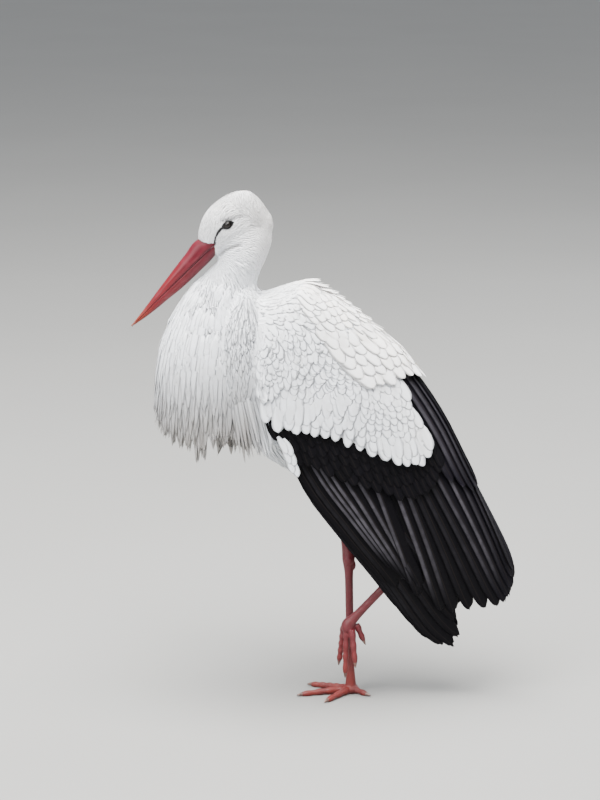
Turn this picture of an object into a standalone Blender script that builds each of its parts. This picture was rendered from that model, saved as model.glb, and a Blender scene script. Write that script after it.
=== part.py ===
"""A white stork at rest on one leg, life size, as a still museum model.

Metres, +Z up. The bird looks along -X and its left side faces -Y. The origin is under the pad of the
standing foot, on the floor. Lengths are written in millimetres, and piece() scales them by MM.
"""

import math

import bmesh
import bpy
import numpy as np
from mathutils import Vector

MM = 0.001
GAP = 0.4  # clearance between two pieces that touch

# ---------------------------------------------------------------------------------------------
# Driving dimensions of the bird
# ---------------------------------------------------------------------------------------------
BILL_TILT = 44.6  # degrees below the horizontal
HEAD_TILT = 50.3  # the same for the line from the bill's base to the back of the head
BILL_BASE = (-236.0, 746.0)  # middle of the bill's base, x and z
BILL_ROOT = -16.0  # how far the bill reaches back into the head, as a place along the bill
BILL_SEAM = -4.5  # the line between the two halves, measured up from the bill's axis
EYE_RADIUS = 7.8
EYE_CENTRE = (-199.0, 24.0, 789.0)  # right eye
HEEL_RADIUS, SHANK_RADIUS, TARSUS_RADIUS, KNUCKLE_RADIUS = 10.6, 7.0, 6.7, 9.4
STANDING_HEEL = (-4.0, 13.0, 225.0)
PALM_HEIGHT = 19.0  # from the floor to where the tarsus starts
PALM_RADIUS = 14.5
RAISED_HEEL = (142.0, -36.0, 290.0)
RAISED_PALM = (-4.0, -30.0, 129.0)
TOE_RADIUS, TOE_TIP_RADIUS = 5.4, 3.7
CLAW_LENGTH = 9.0
TAIL_ROOT = (114.0, 0.0, 382.0)
TAIL_TILT = 62.0  # degrees below the horizontal
TAIL_LENGTH, TAIL_THICK = 212.0, 7.0

WHITE = (0.86, 0.85, 0.82)
BLACK = (0.018, 0.016, 0.020)
BILL_RED = (0.56, 0.07, 0.075)
LEG_RED = (0.50, 0.10, 0.11)
HORN = (0.20, 0.11, 0.09)
EYE_BROWN = (0.020, 0.014, 0.012)
PLUMAGE = ("plumage_white", WHITE, 0.8)
FLIGHT = ("plumage_black", BLACK, 0.5)
BILL = ("bill_red", BILL_RED, 0.4)
LEG = ("leg_red", LEG_RED, 0.55)
CLAW = ("claw_horn", HORN, 0.45)
EYE = ("eye_dark", EYE_BROWN, 0.08)


# ---------------------------------------------------------------------------------------------
# Curves, meshes and materials
# ---------------------------------------------------------------------------------------------
def smooth_rows(rows, count):
    """The rows of a table read at count even steps, on a Catmull-Rom curve through every column."""
    rows = np.array(rows, float)
    padded = np.vstack([2 * rows[0] - rows[1], rows, 2 * rows[-1] - rows[-2]])
    out = []
    for t in np.linspace(0, len(rows) - 1, count):
        i = min(int(t), len(rows) - 2)
        f = t - i
        a, b, c, d = padded[i : i + 4]
        bend = (2 * a - 5 * b + 4 * c - d) * f**2 + (3 * b - a - 3 * c + d) * f**3
        out.append(0.5 * (2 * b + (c - a) * f + bend))
    return np.array(out)


def profile(table, at):
    """A smooth curve through (place, value, value ...) rows, read at one place and flat beyond both ends."""
    places = [row[0] for row in table]
    values = np.array([row[1:] for row in table], float)
    at = min(max(at, places[0]), places[-1])
    i = min(max(int(np.searchsorted(places, at)) - 1, 0), len(places) - 2)

    def slope(k):
        low, high = max(k - 1, 0), min(k + 1, len(places) - 1)
        return (values[high] - values[low]) / (places[high] - places[low])

    span = places[i + 1] - places[i]
    f = (at - places[i]) / span
    start, end = 2 * f**3 - 3 * f**2 + 1, 3 * f**2 - 2 * f**3
    lead, trail = (f**3 - 2 * f**2 + f) * span, (f**3 - f**2) * span
    return start * values[i] + lead * slope(i) + end * values[i + 1] + trail * slope(i + 1)


def material(name, colour, roughness):
    found = bpy.data.materials.get(name)
    if found:
        return found
    made = bpy.data.materials.new(name)
    made.use_nodes = True
    shader = made.node_tree.nodes["Principled BSDF"]
    shader.inputs["Base Color"].default_value = (*colour, 1)
    shader.inputs["Roughness"].default_value = roughness
    shader.inputs["Metallic"].default_value = 0.0
    made.diffuse_color = (*colour, 1)
    return made


def piece(name, points, faces, look, helper=False):
    """One closed mesh from points in millimetres. A helper is only a cutter."""
    mesh = bpy.data.meshes.new(name)
    mesh.from_pydata([Vector(p) * MM for p in points], [], faces)
    work = bmesh.new()
    work.from_mesh(mesh)
    bmesh.ops.remove_doubles(work, verts=work.verts, dist=0.00002)
    bmesh.ops.recalc_face_normals(work, faces=work.faces)
    work.to_mesh(mesh)
    work.free()
    mesh.materials.append(material(*look))
    mesh.shade_smooth()
    mesh.set_sharp_from_angle(angle=math.radians(45))
    made = bpy.data.objects.new(name, mesh)
    bpy.context.scene.collection.objects.link(made)
    if helper:
        made.hide_render = True
        made.display_type = "WIRE"
    return made


def skin_over(rings):
    """Points and faces over closed rings of equal count, with one flat face on each end ring."""
    count, sides = len(rings), len(rings[0])
    points = [p for ring in rings for p in ring]
    faces = []
    for i in range(count - 1):
        for j in range(sides):
            k = (j + 1) % sides
            a, b, c, d = i * sides + j, i * sides + k, (i + 1) * sides + k, (i + 1) * sides + j
            faces += [(a, b, c), (a, c, d)] if j % 2 else [(a, b, d), (b, c, d)]
    faces.append(tuple(range(sides)))
    faces.append(tuple(range((count - 1) * sides, count * sides)))
    return points, faces


def carve(target, *cutters):
    """Cuts the cutters' volumes out of the target."""
    for cutter in cutters:
        cut = target.modifiers.new("clear_of_" + cutter.name, "BOOLEAN")
        cut.operation = "DIFFERENCE"
        cut.object = cutter
    return target


def tube_rings(stations, steps, sides, grow=0.0, floor=None):
    """Round sections square to a smooth path through (x, y, z, radius) stations."""
    rows = smooth_rows(stations, steps)
    path = [Vector(row[:3]) for row in rows]
    if grow:
        path[0] += (path[0] - path[1]).normalized() * grow
        path[-1] += (path[-1] - path[-2]).normalized() * grow
    rings = []
    side = None
    for i, centre in enumerate(path):
        ahead = (path[min(i + 1, len(path) - 1)] - path[max(i - 1, 0)]).normalized()
        if side is None:
            side = ahead.cross(Vector((0, 1, 0.02))).normalized()
        side = (side - ahead * side.dot(ahead)).normalized()
        other = ahead.cross(side)
        radius = rows[i][3] + grow
        ring = []
        for j in range(sides):
            turn = 2 * math.pi * j / sides
            point = centre + (side * math.cos(turn) + other * math.sin(turn)) * radius
            if floor is not None:
                point.z = max(point.z, floor)
            ring.append(point)
        rings.append(ring)
    return rings


# ---------------------------------------------------------------------------------------------
# Trunk: sections across the body, from the chest to the root of the tail.
# x and z of the middle, lean of the section's up direction from +Z to +X in degrees,
# reach up, reach down, half width.
# ---------------------------------------------------------------------------------------------
TRUNK = [
    (-222, 549, 0, 20, 24, 20),
    (-205, 549, 0, 58, 66, 46),
    (-180, 549, 0, 90, 100, 68),
    (-150, 545, 4, 116, 120, 84),
    (-95, 533, 19, 138, 137, 88),
    (-40, 500, 31, 126, 135, 87),
    (20, 455, 39, 97, 127, 79),
    (75, 411, 41, 73, 103, 70),
    (125, 371, 43, 58, 78, 57),
    (165, 335, 45, 32, 42, 36),
]
TRUNK_STEPS, TRUNK_SIDES = 14, 22


def section(x, z, lean, up, down, half, sides, grow=0.0):
    """An egg-shaped section across the body, as a closed ring."""
    lean = math.radians(lean)
    ring = []
    for j in range(sides):
        turn = 2 * math.pi * j / sides
        rise = math.cos(turn) * ((up if math.cos(turn) > 0 else down) + grow)
        aside = math.sin(turn) * (half + grow)
        ring.append((x + math.sin(lean) * rise, aside, z + math.cos(lean) * rise))
    return ring


def trunk(name, grow=0.0, helper=False):
    rows = smooth_rows(TRUNK, TRUNK_STEPS)
    rows[0][0] -= grow
    rows[-1][0] += grow
    rows[-1][1] -= grow
    rings = [section(*row, sides=TRUNK_SIDES, grow=grow) for row in rows]
    return piece(name, *skin_over(rings), PLUMAGE, helper)


# ---------------------------------------------------------------------------------------------
# Neck and breast plumes: level sections, from the hem upwards.
# z, front x, back x, half width. The neck is drawn in, so that it widens straight into the plumes.
# ---------------------------------------------------------------------------------------------
THROAT = [
    (440, -299, -160, 74),
    (475, -310, -148, 86),
    (510, -315, -141, 90),
    (550, -316, -138, 90),
    (590, -309, -140, 86),
    (630, -294, -147, 76),
    (665, -275, -155, 62),
    (690, -257, -153, 50),
    (710, -233, -148, 40),
    (728, -216, -139, 35),
    (750, -212, -131, 31),
    (775, -200, -128, 26),
    (798, -186, -146, 14),
]
NECK_TOP, NECK_FOOT, PLUME_FOOT = 797.0, 688.0, 450.0
LOCKS = 13  # hanging locks round the hem of the plumes
NOTCH_HEIGHT, TIP_HEIGHT = 444.0, 402.0
INNER_SHRINK = 0.7  # the underside, inside the locks, against the hem
CURTAIN, CURTAIN_TOP = 12.5, 674.0  # the plumes hang clear of the chest: their thickness, and from where


def level_ring(z, sides, grow=0.0, back_grow=0.0):
    front, back, half = profile(THROAT, z)
    back += back_grow
    middle, reach = (front + back) / 2, (back - front) / 2
    ring = []
    for j in range(sides):
        turn = 2 * math.pi * j / sides
        ring.append((middle - (reach + grow) * math.cos(turn), (half + grow) * math.sin(turn), z))
    return ring


def neck_rings(grow=0.0):
    return [level_ring(z, 2 * LOCKS, grow) for z in np.linspace(NECK_TOP, NECK_FOOT + GAP, 7)]


def plume_rings(grow=0.0):
    """Level rings down to the hem, a ring that runs up and down from lock to lock, and the underside."""
    rings = [level_ring(z, 2 * LOCKS, grow) for z in np.linspace(NECK_FOOT, PLUME_FOOT, 8)]
    hem, under = [], []
    middle = sum(p[0] for p in rings[-1]) / len(rings[-1])
    for j, (x, y, _) in enumerate(rings[-1]):
        ahead = 0.5 + 0.5 * math.cos(math.pi * j / LOCKS)  # 1 at the front, 0 at the back
        tip = TIP_HEIGHT + 30 * ahead + 10 * math.sin(2.3 * j)
        hem.append((x + 6 * ahead, 0.95 * y, (tip if j % 2 else NOTCH_HEIGHT) - 3 * grow))
        under.append((middle + (x - middle) * INNER_SHRINK, y * INNER_SHRINK, NOTCH_HEIGHT - 2 * grow))
    return [*rings, hem, under]


def hollow_rings():
    """The open space behind the hanging plumes."""
    rings = [level_ring(z, LOCKS, -CURTAIN, 2.5 * CURTAIN) for z in (TIP_HEIGHT - 10, 460)]
    rings += [level_ring(z, LOCKS, -CURTAIN) for z in (500, 560, 620)]
    rings.append(level_ring(CURTAIN_TOP - 18, LOCKS, -CURTAIN - 2))
    return [*rings, level_ring(CURTAIN_TOP, LOCKS, -CURTAIN - 14)]


# ---------------------------------------------------------------------------------------------
# Head and bill, from one middle. Head: way back from the bill's base, reach up, reach down, half width.
# Bill: way forward from its base, height of the ridge, height of the keel, half width.
# ---------------------------------------------------------------------------------------------
HEAD = [
    (-1, 17, 19, 13.5),
    (8, 21.5, 25, 18.5),
    (24, 31.3, 32, 23),
    (41, 36.5, 38, 27),
    (60, 37, 45, 29.5),
    (79, 33, 52, 30.5),
    (95, 26.7, 52, 28.5),
    (107, 19, 43, 22.5),
    (115, 10.5, 31, 15),
    (118.5, 3, 14, 7),
]
HEAD_STEPS, HEAD_SIDES = 12, 18
BILL_SHAPE = [
    (-16, 17.5, -16.5, 10.5),
    (0, 19.5, -19, 13.2),
    (30, 16, -19.6, 12.4),
    (75, 9.6, -18.6, 10),
    (100, 5.8, -16.2, 8.2),
    (122, 2.2, -14.4, 6.6),
    (146, -1.4, -11.6, 4.6),
    (165, -4, -8.2, 2.6),
    (173, -5.2, -6.6, 1.1),
]
BILL_TIP_WAY = BILL_SHAPE[-1][0]
BILL_SIDES = 7  # points round each half


def on_bill(way, aside, height, tilt=BILL_TILT):
    """A point from its way along the bill, its offset to the side and its height over the axis."""
    tilt = math.radians(tilt)
    x = BILL_BASE[0] - math.cos(tilt) * way - math.sin(tilt) * height
    z = BILL_BASE[1] - math.sin(tilt) * way + math.cos(tilt) * height
    return (x, aside, z)


def head_rings(grow=0.0):
    rings = []
    for way, up, down, half in smooth_rows(HEAD, HEAD_STEPS):
        x, _, z = on_bill(-way, 0, 0, HEAD_TILT)
        rings.append(section(x, z, -HEAD_TILT, up, down, half, HEAD_SIDES, grow))
    return rings


def bill_ways():
    return np.linspace(BILL_ROOT, BILL_TIP_WAY, 12)


def bill_seam(way):
    """Height of the line between the halves: level at first, and between the tips at the end."""
    ridge, keel, _ = profile(BILL_SHAPE, way)
    return min(max(BILL_SEAM, keel + 0.3 * (ridge - keel)), ridge - 0.4 * (ridge - keel))


def bill_half(name, upper):
    rings = []
    for way in bill_ways():
        ridge, keel, half = profile(BILL_SHAPE, way)
        seam = bill_seam(way) + (GAP / 2 if upper else -GAP / 2)
        reach = (ridge if upper else keel) - seam
        ring = []
        for j in range(BILL_SIDES):
            turn = math.pi * j / (BILL_SIDES - 1)
            ring.append(on_bill(way, half * math.cos(turn), seam + reach * math.sin(turn) ** 0.8))
        rings.append(ring)
    return piece(name, *skin_over(rings), BILL)


def bill_cutter():
    rings = []
    ways = bill_ways()[:5]
    ways[0] -= GAP
    for way in ways:
        ridge, keel, half = profile(BILL_SHAPE, way)
        ring = []
        for j in range(2 * BILL_SIDES):
            turn = math.pi * j / BILL_SIDES
            seam = bill_seam(way)
            reach = (ridge - seam if math.sin(turn) > 0 else seam - keel) + 1.5 * GAP
            rise = math.copysign(abs(math.sin(turn)) ** 0.8, math.sin(turn))
            ring.append(on_bill(way, (half + 1.5 * GAP) * math.cos(turn), seam + reach * rise))
        rings.append(ring)
    return piece("bill_cutter", *skin_over(rings), PLUMAGE, helper=True)


def eyeball(name, side, grow=0.0, helper=False):
    ball = bmesh.new()
    bmesh.ops.create_uvsphere(ball, u_segments=10, v_segments=7, radius=EYE_RADIUS + grow)
    points = [
        (v.co.x + EYE_CENTRE[0], v.co.y + side * EYE_CENTRE[1], v.co.z + EYE_CENTRE[2]) for v in ball.verts
    ]
    faces = [tuple(v.index for v in f.verts) for f in ball.faces]
    ball.free()
    return piece(name, points, faces, EYE, helper)


# ---------------------------------------------------------------------------------------------
# Folded wings. Both lie on one shell over the body, which is measured in the wing's own frame:
# along it, from the shoulder to the tips, and round it, in degrees, from 0 at the back's ridge to 90
# at the lower edge.
# ---------------------------------------------------------------------------------------------
SHOULDER = (-150.0, 600.0)
WING_TILT = 51.7  # degrees below the horizontal
# Along the wing: height of the back's ridge and of the lower edge over the wing's axis, offset at
# the ridge, half width.
SHELL = [
    (-55, 44, 36, 0.7, 48),
    (-32, 112, 25, 0.7, 74),
    (0, 134, 0, 0.7, 95),
    (50, 151, -40, 0.7, 109),
    (100, 163, -62, 0.7, 115),
    (150, 173, -70, 0.7, 118),
    (200, 174, -83, 0.7, 118),
    (250, 171, -89, 1, 117),
    (300, 164, -89, 1.5, 114),
    (350, 153, -89, 2.5, 109),
    (400, 142, -89, 3, 98),
    (450, 131, -91, 4, 86),
    (500, 119, -95, 5, 71),
    (550, 105, -96, 6, 56),
    (590, 92, -88, 7, 46),
]


def on_wing(along, round_it, depth, side):
    """The point on the left or right shell, a given depth under its surface."""
    ridge, edge, ridge_offset, half = profile(SHELL, along)
    turn = math.radians(round_it)
    across = (ridge - depth) + (edge - ridge + depth) * (1 - math.cos(turn))
    aside = ridge_offset + (half - depth - ridge_offset) * math.sin(turn)
    tilt = math.radians(WING_TILT)
    x = SHOULDER[0] + math.cos(tilt) * along + math.sin(tilt) * across
    z = SHOULDER[1] - math.sin(tilt) * along + math.cos(tilt) * across
    return (x, side * aside, z)


# Each group of feathers: its roots and its tips as curves of (along, round) places from the back
# to the lower edge, then the depth of its outer face, its thickness, its feathers, how deep the
# notches between their tips are, its steps from root to tip, how these crowd towards the root, and
# its look.
WING_GROUPS = {
    "scapulars": (
        [(-53, 0), (-54, 35), (-52, 65), (-36, 89)],
        [(212, 0), (196, 18), (184, 29), (206, 40)],
        (0.0, 3.0, 5, 9.0, 6, 1.35, PLUMAGE),
    ),
    "coverts": (
        [(-22, 78), (10, 87), (40, 89), (68, 90)],
        [(186, 26), (288, 38), (306, 33), (314, 45), (272, 58), (216, 66), (160, 77), (126, 86), (92, 90)],
        (4.8, 3.0, 10, 6.0, 5, 1.25, PLUMAGE),
    ),
    "tertials": (
        [(120, 0), (130, 20), (150, 32), (170, 41)],
        [(402, 0), (398, 18), (366, 29), (306, 38)],
        (10.3, 2.2, 4, 22.0, 5, 1.0, FLIGHT),
    ),
    "greater_coverts": (
        [(185, 48), (150, 63), (110, 75), (64, 90)],
        [(348, 41), (346, 55), (290, 71), (220, 82), (150, 90)],
        (10.0, 2.2, 8, 8.0, 3, 1.0, FLIGHT),
    ),
    "secondaries": (
        [(215, 0), (205, 44), (190, 62), (180, 79)],
        [(552, 0), (571, 27), (577, 42), (560, 56), (500, 72), (420, 85)],
        (13.4, 3.0, 9, 12.0, 5, 1.0, FLIGHT),
    ),
    "primaries": (
        [(180, 80), (165, 85), (150, 89), (138, 90)],
        [(536, 60), (584, 76), (590, 86), (558, 90), (486, 90)],
        (17.4, 3.2, 6, 14.0, 5, 1.0, FLIGHT),
    ),
}


def wing_plate(name, side, roots, tips, layer):
    """A closed plate of overlapping feathers between two depths of the shell, with its tips notched."""
    depth, thick, feathers, notch, steps, crowd, look = layer
    lanes = 2 * feathers
    outer, inner = [], []
    for j, (root, tip) in enumerate(zip(smooth_rows(roots, lanes + 1), smooth_rows(tips, lanes + 1))):
        if j % 2 == 0:
            tip[0] -= notch
        for i in range(steps + 1):
            place = root + (tip - root) * (i / steps) ** crowd
            outer.append(on_wing(*place, depth, side))
            inner.append(on_wing(*place, depth + thick, side))
    row, half = steps + 1, len(outer)
    faces = []
    for j in range(lanes):
        for i in range(steps):
            a, b = j * row + i, (j + 1) * row + i
            for lift in (0, half):
                faces += [(lift + a, lift + a + 1, lift + b + 1), (lift + a, lift + b + 1, lift + b)]
    border = list(range(row))
    border += [j * row + steps for j in range(1, lanes + 1)]
    border += [lanes * row + i for i in range(steps - 1, -1, -1)]
    border += [j * row for j in range(lanes - 1, 0, -1)]
    for a, b in zip(border, border[1:] + border[:1]):
        faces.append((a, b, half + b, half + a))
    return piece(name, outer + inner, faces, look)


# ---------------------------------------------------------------------------------------------
# Tail: a closed fan, roofed slightly, under the wings.
# ---------------------------------------------------------------------------------------------
TAIL_FEATHERS = 6  # tips that show in the closed fan
TAIL_ROOT_HALF, TAIL_END_HALF, TAIL_ROOF, TAIL_NOTCH = 16.0, 27.0, 8.0, 9.0


def tail():
    tilt = math.radians(TAIL_TILT)
    along = Vector((math.cos(tilt), 0, -math.sin(tilt)))
    up = Vector((math.sin(tilt), 0, math.cos(tilt)))
    lanes = 2 * TAIL_FEATHERS
    steps = 4
    rings = []
    for j in range(lanes + 1):
        share = 2 * j / lanes - 1
        reach = TAIL_LENGTH - 14 * share**2 - TAIL_NOTCH * (1 - j % 2)
        top, under = [], []
        for i in range(steps + 1):
            f = i / steps
            half = TAIL_ROOT_HALF + (TAIL_END_HALF - TAIL_ROOT_HALF) * f
            sag = TAIL_ROOF * share**2 * (0.4 + 0.6 * f)
            thick = TAIL_THICK * (1 - 0.5 * f)
            middle = Vector(TAIL_ROOT) + along * (reach * f) + Vector((0, half * share, 0)) - up * sag
            top.append(middle + up * thick / 2)
            under.append(middle - up * thick / 2)
        rings.append(top + under[::-1])
    return piece("tail", *skin_over(rings), PLUMAGE)


# ---------------------------------------------------------------------------------------------
# Legs. The right one stands; the left one is drawn up, its foot hanging beside the other tarsus.
# ---------------------------------------------------------------------------------------------
THIGH_STANDING = [(4, 44, 400, 40), (-4, 38, 362, 37), (-11, 29, 326, 27), (-16, 22, 297, 13)]
THIGH_RAISED = [(-6, -48, 398, 40), (30, -46, 372, 37), (68, -42, 338, 25), (94, -39, 314, 12.5)]
LEG_SIDES = 9


def between(start, end, way):
    """The point a given way from start towards end."""
    a, b = Vector(start), Vector(end)
    return a + (b - a).normalized() * way


def bare_leg(name, start, end, radii, grow=0.0, helper=False):
    """A straight stretch of leg between two points, with a radius at each share of its length."""
    a, b = Vector(start), Vector(end)
    stations = [(*a.lerp(b, share), radius) for share, radius in radii]
    rings = tube_rings(stations, 2 * len(stations) + 1, LEG_SIDES, grow)
    return piece(name, *skin_over(rings), LEG, helper)


def leg(side_name, thigh, heel, palm_top):
    """Feathered thigh, bare shank with the heel at its end, and tarsus, which the heel cuts into."""
    shank_start = between(thigh[-1][:3], heel, GAP)
    shank_end = between(heel, thigh[-1][:3], -5.0)
    shank = [(0, 7.4), (0.3, SHANK_RADIUS), (0.65, SHANK_RADIUS + 0.8), (0.9, HEEL_RADIUS), (1, 6.5)]
    bare_leg("shank_" + side_name, shank_start, shank_end, shank)
    shank_cutter = bare_leg("shank_cutter_" + side_name, shank_start, shank_end, shank, GAP, helper=True)
    tarsus = [(0, 8.4), (0.1, 7.2), (0.3, TARSUS_RADIUS), (0.8, TARSUS_RADIUS), (1, 7.2)]
    carve(bare_leg("tarsus_" + side_name, heel, palm_top, tarsus), shank_cutter)
    return carve(piece("thigh_" + side_name, *skin_over(tube_rings(thigh, 7, 14)), PLUMAGE), shank_cutter)


# Toes: heading from -X towards -Y in degrees, length without the claw, and joints along it.
STANDING_TOES = {
    "inner": (52, 48, 2),
    "middle": (14, 68, 3),
    "outer": (-26, 56, 4),
    "hind": (143, 17, 1),
}
# For the raised foot: offset of the root from the palm's middle, way the toe hangs, length, joints.
RAISED_TOES = {
    "inner": ((5.5, -8.0, -13.5), (0.10, -0.12, -1), 50, 2),
    "middle": ((-3.5, -1.5, -15.0), (-0.03, -0.02, -1), 69, 3),
    "outer": ((-8.5, 8.5, -12.0), (-0.12, 0.10, -1), 57, 4),
    "hind": ((14.5, 1.5, -6.5), (0.42, 0.02, -1), 25, 1),
}
TOE_SIDES, CLAW_SIDES = 8, 6


def toe_stations(start, ahead, length, joints, droop):
    """A tapering path with a low swelling at each joint, bending down by droop along its length."""
    stations = []
    steps = 2 * joints + 2
    for i in range(steps + 1):
        f = i / steps
        swelling = 0.5 if i % 2 else -0.25
        radius = TOE_RADIUS + (TOE_TIP_RADIUS - TOE_RADIUS) * f + swelling
        place = Vector(start) + Vector(ahead) * (length * f) - Vector((0, 0, droop * f * f))
        stations.append((*place, radius))
    return stations


def toe_and_claw(name, stations, floor):
    rings = tube_rings(stations, len(stations), TOE_SIDES, floor=floor)
    piece("toe_" + name, *skin_over(rings), LEG)
    end, before = Vector(stations[-1][:3]), Vector(stations[-2][:3])
    ahead = (end - before).normalized()
    start = end + ahead * GAP
    base = TOE_TIP_RADIUS - 0.7
    claw = []
    for share, radius in ((0, base), (0.5, base * 0.72), (1, 0.5)):
        place = start + ahead * (CLAW_LENGTH * share)
        place.z += (base - radius) * 0.4 - (1.4 * share**2 if floor is None else 1.2 * share)
        claw.append((*place, radius))
    piece("claw_" + name, *skin_over(tube_rings(claw, 4, CLAW_SIDES, floor=floor)), CLAW)


def standing_foot():
    """Palm with a flat underside, three front toes and the hind toe, all flat where they touch the floor."""
    palm = [(0, PALM_RADIUS - 2.5), (3, PALM_RADIUS), (7, PALM_RADIUS - 1), (13, KNUCKLE_RADIUS + 1.2)]
    rings = []
    for z, radius in [*palm, (PALM_HEIGHT - 1.1, KNUCKLE_RADIUS - 0.6)]:
        ring = []
        for j in range(16):
            turn = 2 * math.pi * j / 16
            ring.append((radius * math.cos(turn), radius * math.sin(turn), z))
        rings.append(ring)
    piece("palm_right", *skin_over(rings), LEG)
    for name, (heading, length, joints) in STANDING_TOES.items():
        turn = math.radians(heading)
        ahead = Vector((-math.cos(turn), -math.sin(turn), 0))
        start = ahead * (PALM_RADIUS + GAP + 0.2)
        start.z = TOE_RADIUS - 0.9
        stations = toe_stations(start, ahead, length, joints, 1.2)
        toe_and_claw(name + "_right", stations, 0.0)


def raised_foot(palm_top):
    """The palm ends the tarsus as a rounded knuckle, and the toes hang from it side by side."""
    palm = Vector(RAISED_PALM)
    ahead = (palm - palm_top).normalized()
    rings = tube_rings(
        [
            (*(palm_top + ahead * GAP), KNUCKLE_RADIUS - 1.0),
            (*(palm - ahead * 5), KNUCKLE_RADIUS + 1.6),
            (*(palm + Vector((-1, 0, -4))), KNUCKLE_RADIUS + 2.2),
            (*(palm + Vector((-2, 0, -9))), KNUCKLE_RADIUS - 1.5),
        ],
        7,
        12,
    )
    made = piece("palm_left", *skin_over(rings), LEG)
    for name, (offset, ahead, length, joints) in RAISED_TOES.items():
        stations = toe_stations(palm + Vector(offset), Vector(ahead).normalized(), length, joints, 0)
        toe_and_claw(name + "_left", stations, None)
    return made


# ---------------------------------------------------------------------------------------------
# The bird
# ---------------------------------------------------------------------------------------------
for old in list(bpy.data.objects):
    bpy.data.objects.remove(old)

head_cutter = piece("head_cutter", *skin_over(head_rings(GAP)), PLUMAGE, helper=True)
eye_cutters = [eyeball(f"eye_cutter_{side}", side, GAP, helper=True) for side in (1, -1)]
head = piece("head", *skin_over(head_rings()), PLUMAGE)
carve(head, bill_cutter(), *eye_cutters)
bill_half("bill_upper", True)
bill_half("bill_lower", False)
eyeball("eye_right", 1)
eyeball("eye_left", -1)

neck = piece("neck", *skin_over(neck_rings()), PLUMAGE)
carve(neck, head_cutter)
plumes = piece("breast_plumes", *skin_over(plume_rings()), PLUMAGE)
hollow = piece("plume_hollow", *skin_over(hollow_rings()), PLUMAGE, helper=True)
trunk("trunk")
trunk_cutter = trunk("trunk_cutter", GAP, helper=True)
carve(plumes, trunk_cutter, hollow)
carve(tail(), trunk_cutter)

for side_name, side in (("left", -1), ("right", 1)):
    for group, (roots, tips, layer) in WING_GROUPS.items():
        wing_plate(f"wing_{side_name}_{group}", side, roots, tips, layer)

carve(leg("right", THIGH_STANDING, STANDING_HEEL, (0, 0, PALM_HEIGHT)), trunk_cutter)
raised_palm_top = between(RAISED_PALM, RAISED_HEEL, 12.0)
carve(leg("left", THIGH_RAISED, RAISED_HEEL, raised_palm_top), trunk_cutter)
standing_foot()
raised_foot(raised_palm_top)
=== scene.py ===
"""A white stork at rest on one leg, life size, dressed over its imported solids. Metres, +Z up.

The bird looks along -X with its left side towards -Y. Lengths are written in millimetres.
"""
import math
from collections import namedtuple
from itertools import product

import bmesh
import bpy
import numpy as np
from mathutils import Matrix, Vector
from mathutils.bvhtree import BVHTree


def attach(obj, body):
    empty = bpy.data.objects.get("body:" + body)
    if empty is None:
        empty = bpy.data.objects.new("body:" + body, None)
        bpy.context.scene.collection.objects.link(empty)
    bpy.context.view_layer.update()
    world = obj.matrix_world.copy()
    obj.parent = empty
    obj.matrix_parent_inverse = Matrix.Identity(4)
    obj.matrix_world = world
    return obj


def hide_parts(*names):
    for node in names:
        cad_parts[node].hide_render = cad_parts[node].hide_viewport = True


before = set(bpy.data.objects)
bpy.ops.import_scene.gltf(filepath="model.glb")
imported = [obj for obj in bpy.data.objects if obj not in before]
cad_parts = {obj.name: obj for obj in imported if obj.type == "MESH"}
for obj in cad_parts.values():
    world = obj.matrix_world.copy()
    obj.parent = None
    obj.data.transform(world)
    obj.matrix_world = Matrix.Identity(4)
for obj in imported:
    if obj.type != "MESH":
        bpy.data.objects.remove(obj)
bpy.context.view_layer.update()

# ---------------------------------------------------------------------------------------------
# Camera, floor and lights: a long lens a little above the bird, a plain pale floor, and broad soft
# lamps overhead and beside it, as in a daylight studio.
MM = 0.001
LOOK_AT, DISTANCE, ELEVATION = Vector((-0.084, 0.0, 0.498)), 4.5, math.radians(13.0)
LAMP_AIM = Vector((-0.1, 0, 0.45))

camera_data = bpy.data.cameras.new("camera")
camera_data.lens = 125.0
camera_data.sensor_width = 36.0
camera_data.clip_end = 60.0
camera = bpy.data.objects.new("camera", camera_data)
camera.location = LOOK_AT + DISTANCE * Vector((0, -math.cos(ELEVATION), math.sin(ELEVATION)))
camera.rotation_euler = (math.pi / 2 - ELEVATION, 0, 0)
bpy.context.scene.collection.objects.link(camera)
bpy.context.scene.camera = camera


def feed(tree, socket, value):
    """Links a socket, or sets it to a number or a colour."""
    if isinstance(value, bpy.types.NodeSocket):
        tree.links.new(value, socket)
    elif isinstance(value, tuple) and socket.type == "RGBA":
        socket.default_value = (*value, 1)
    else:
        socket.default_value = value


def finish_tree(name, colour, roughness, **others):
    """A new material with its plain values on the shader's own sockets."""
    material = bpy.data.materials.new(name)
    material.use_nodes = True
    shader = material.node_tree.nodes["Principled BSDF"]
    for socket, value in {"Base_Color": colour, "Roughness": roughness, **others}.items():
        feed(material.node_tree, shader.inputs[socket.replace("_", " ")], value)
    return material, material.node_tree, shader


def add_node(tree, kind, sockets, **settings):
    """A new node with its settings made and its sockets linked or set."""
    node = tree.nodes.new("ShaderNode" + kind)
    for name, value in settings.items():
        setattr(node, name, value)
    for socket, value in sockets.items():
        feed(tree, node.inputs[socket], value)
    return node


def paint(tree, shader, ground, *coats):
    """Lays coats of colour over a ground, each as far as its share says, and colours the shader."""
    for share, colour in coats:
        ground = add_node(tree, "Mix", {0: share, 6: ground, 7: colour}, data_type="RGBA").outputs[2]
    feed(tree, shader.inputs["Base Color"], ground)


def reckon(tree, operation, *values):
    """A sum, product or other working of one or two numbers."""
    return add_node(tree, "Math", dict(enumerate(values)), operation=operation).outputs[0]


def spread(tree, value, low, high, start=0.0, end=1.0):
    """A soft step from start to end as the value goes from low to high."""
    sockets = dict(enumerate((value, low, high, start, end)))
    return add_node(tree, "MapRange", sockets, interpolation_type="SMOOTHSTEP").outputs[0]


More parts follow.
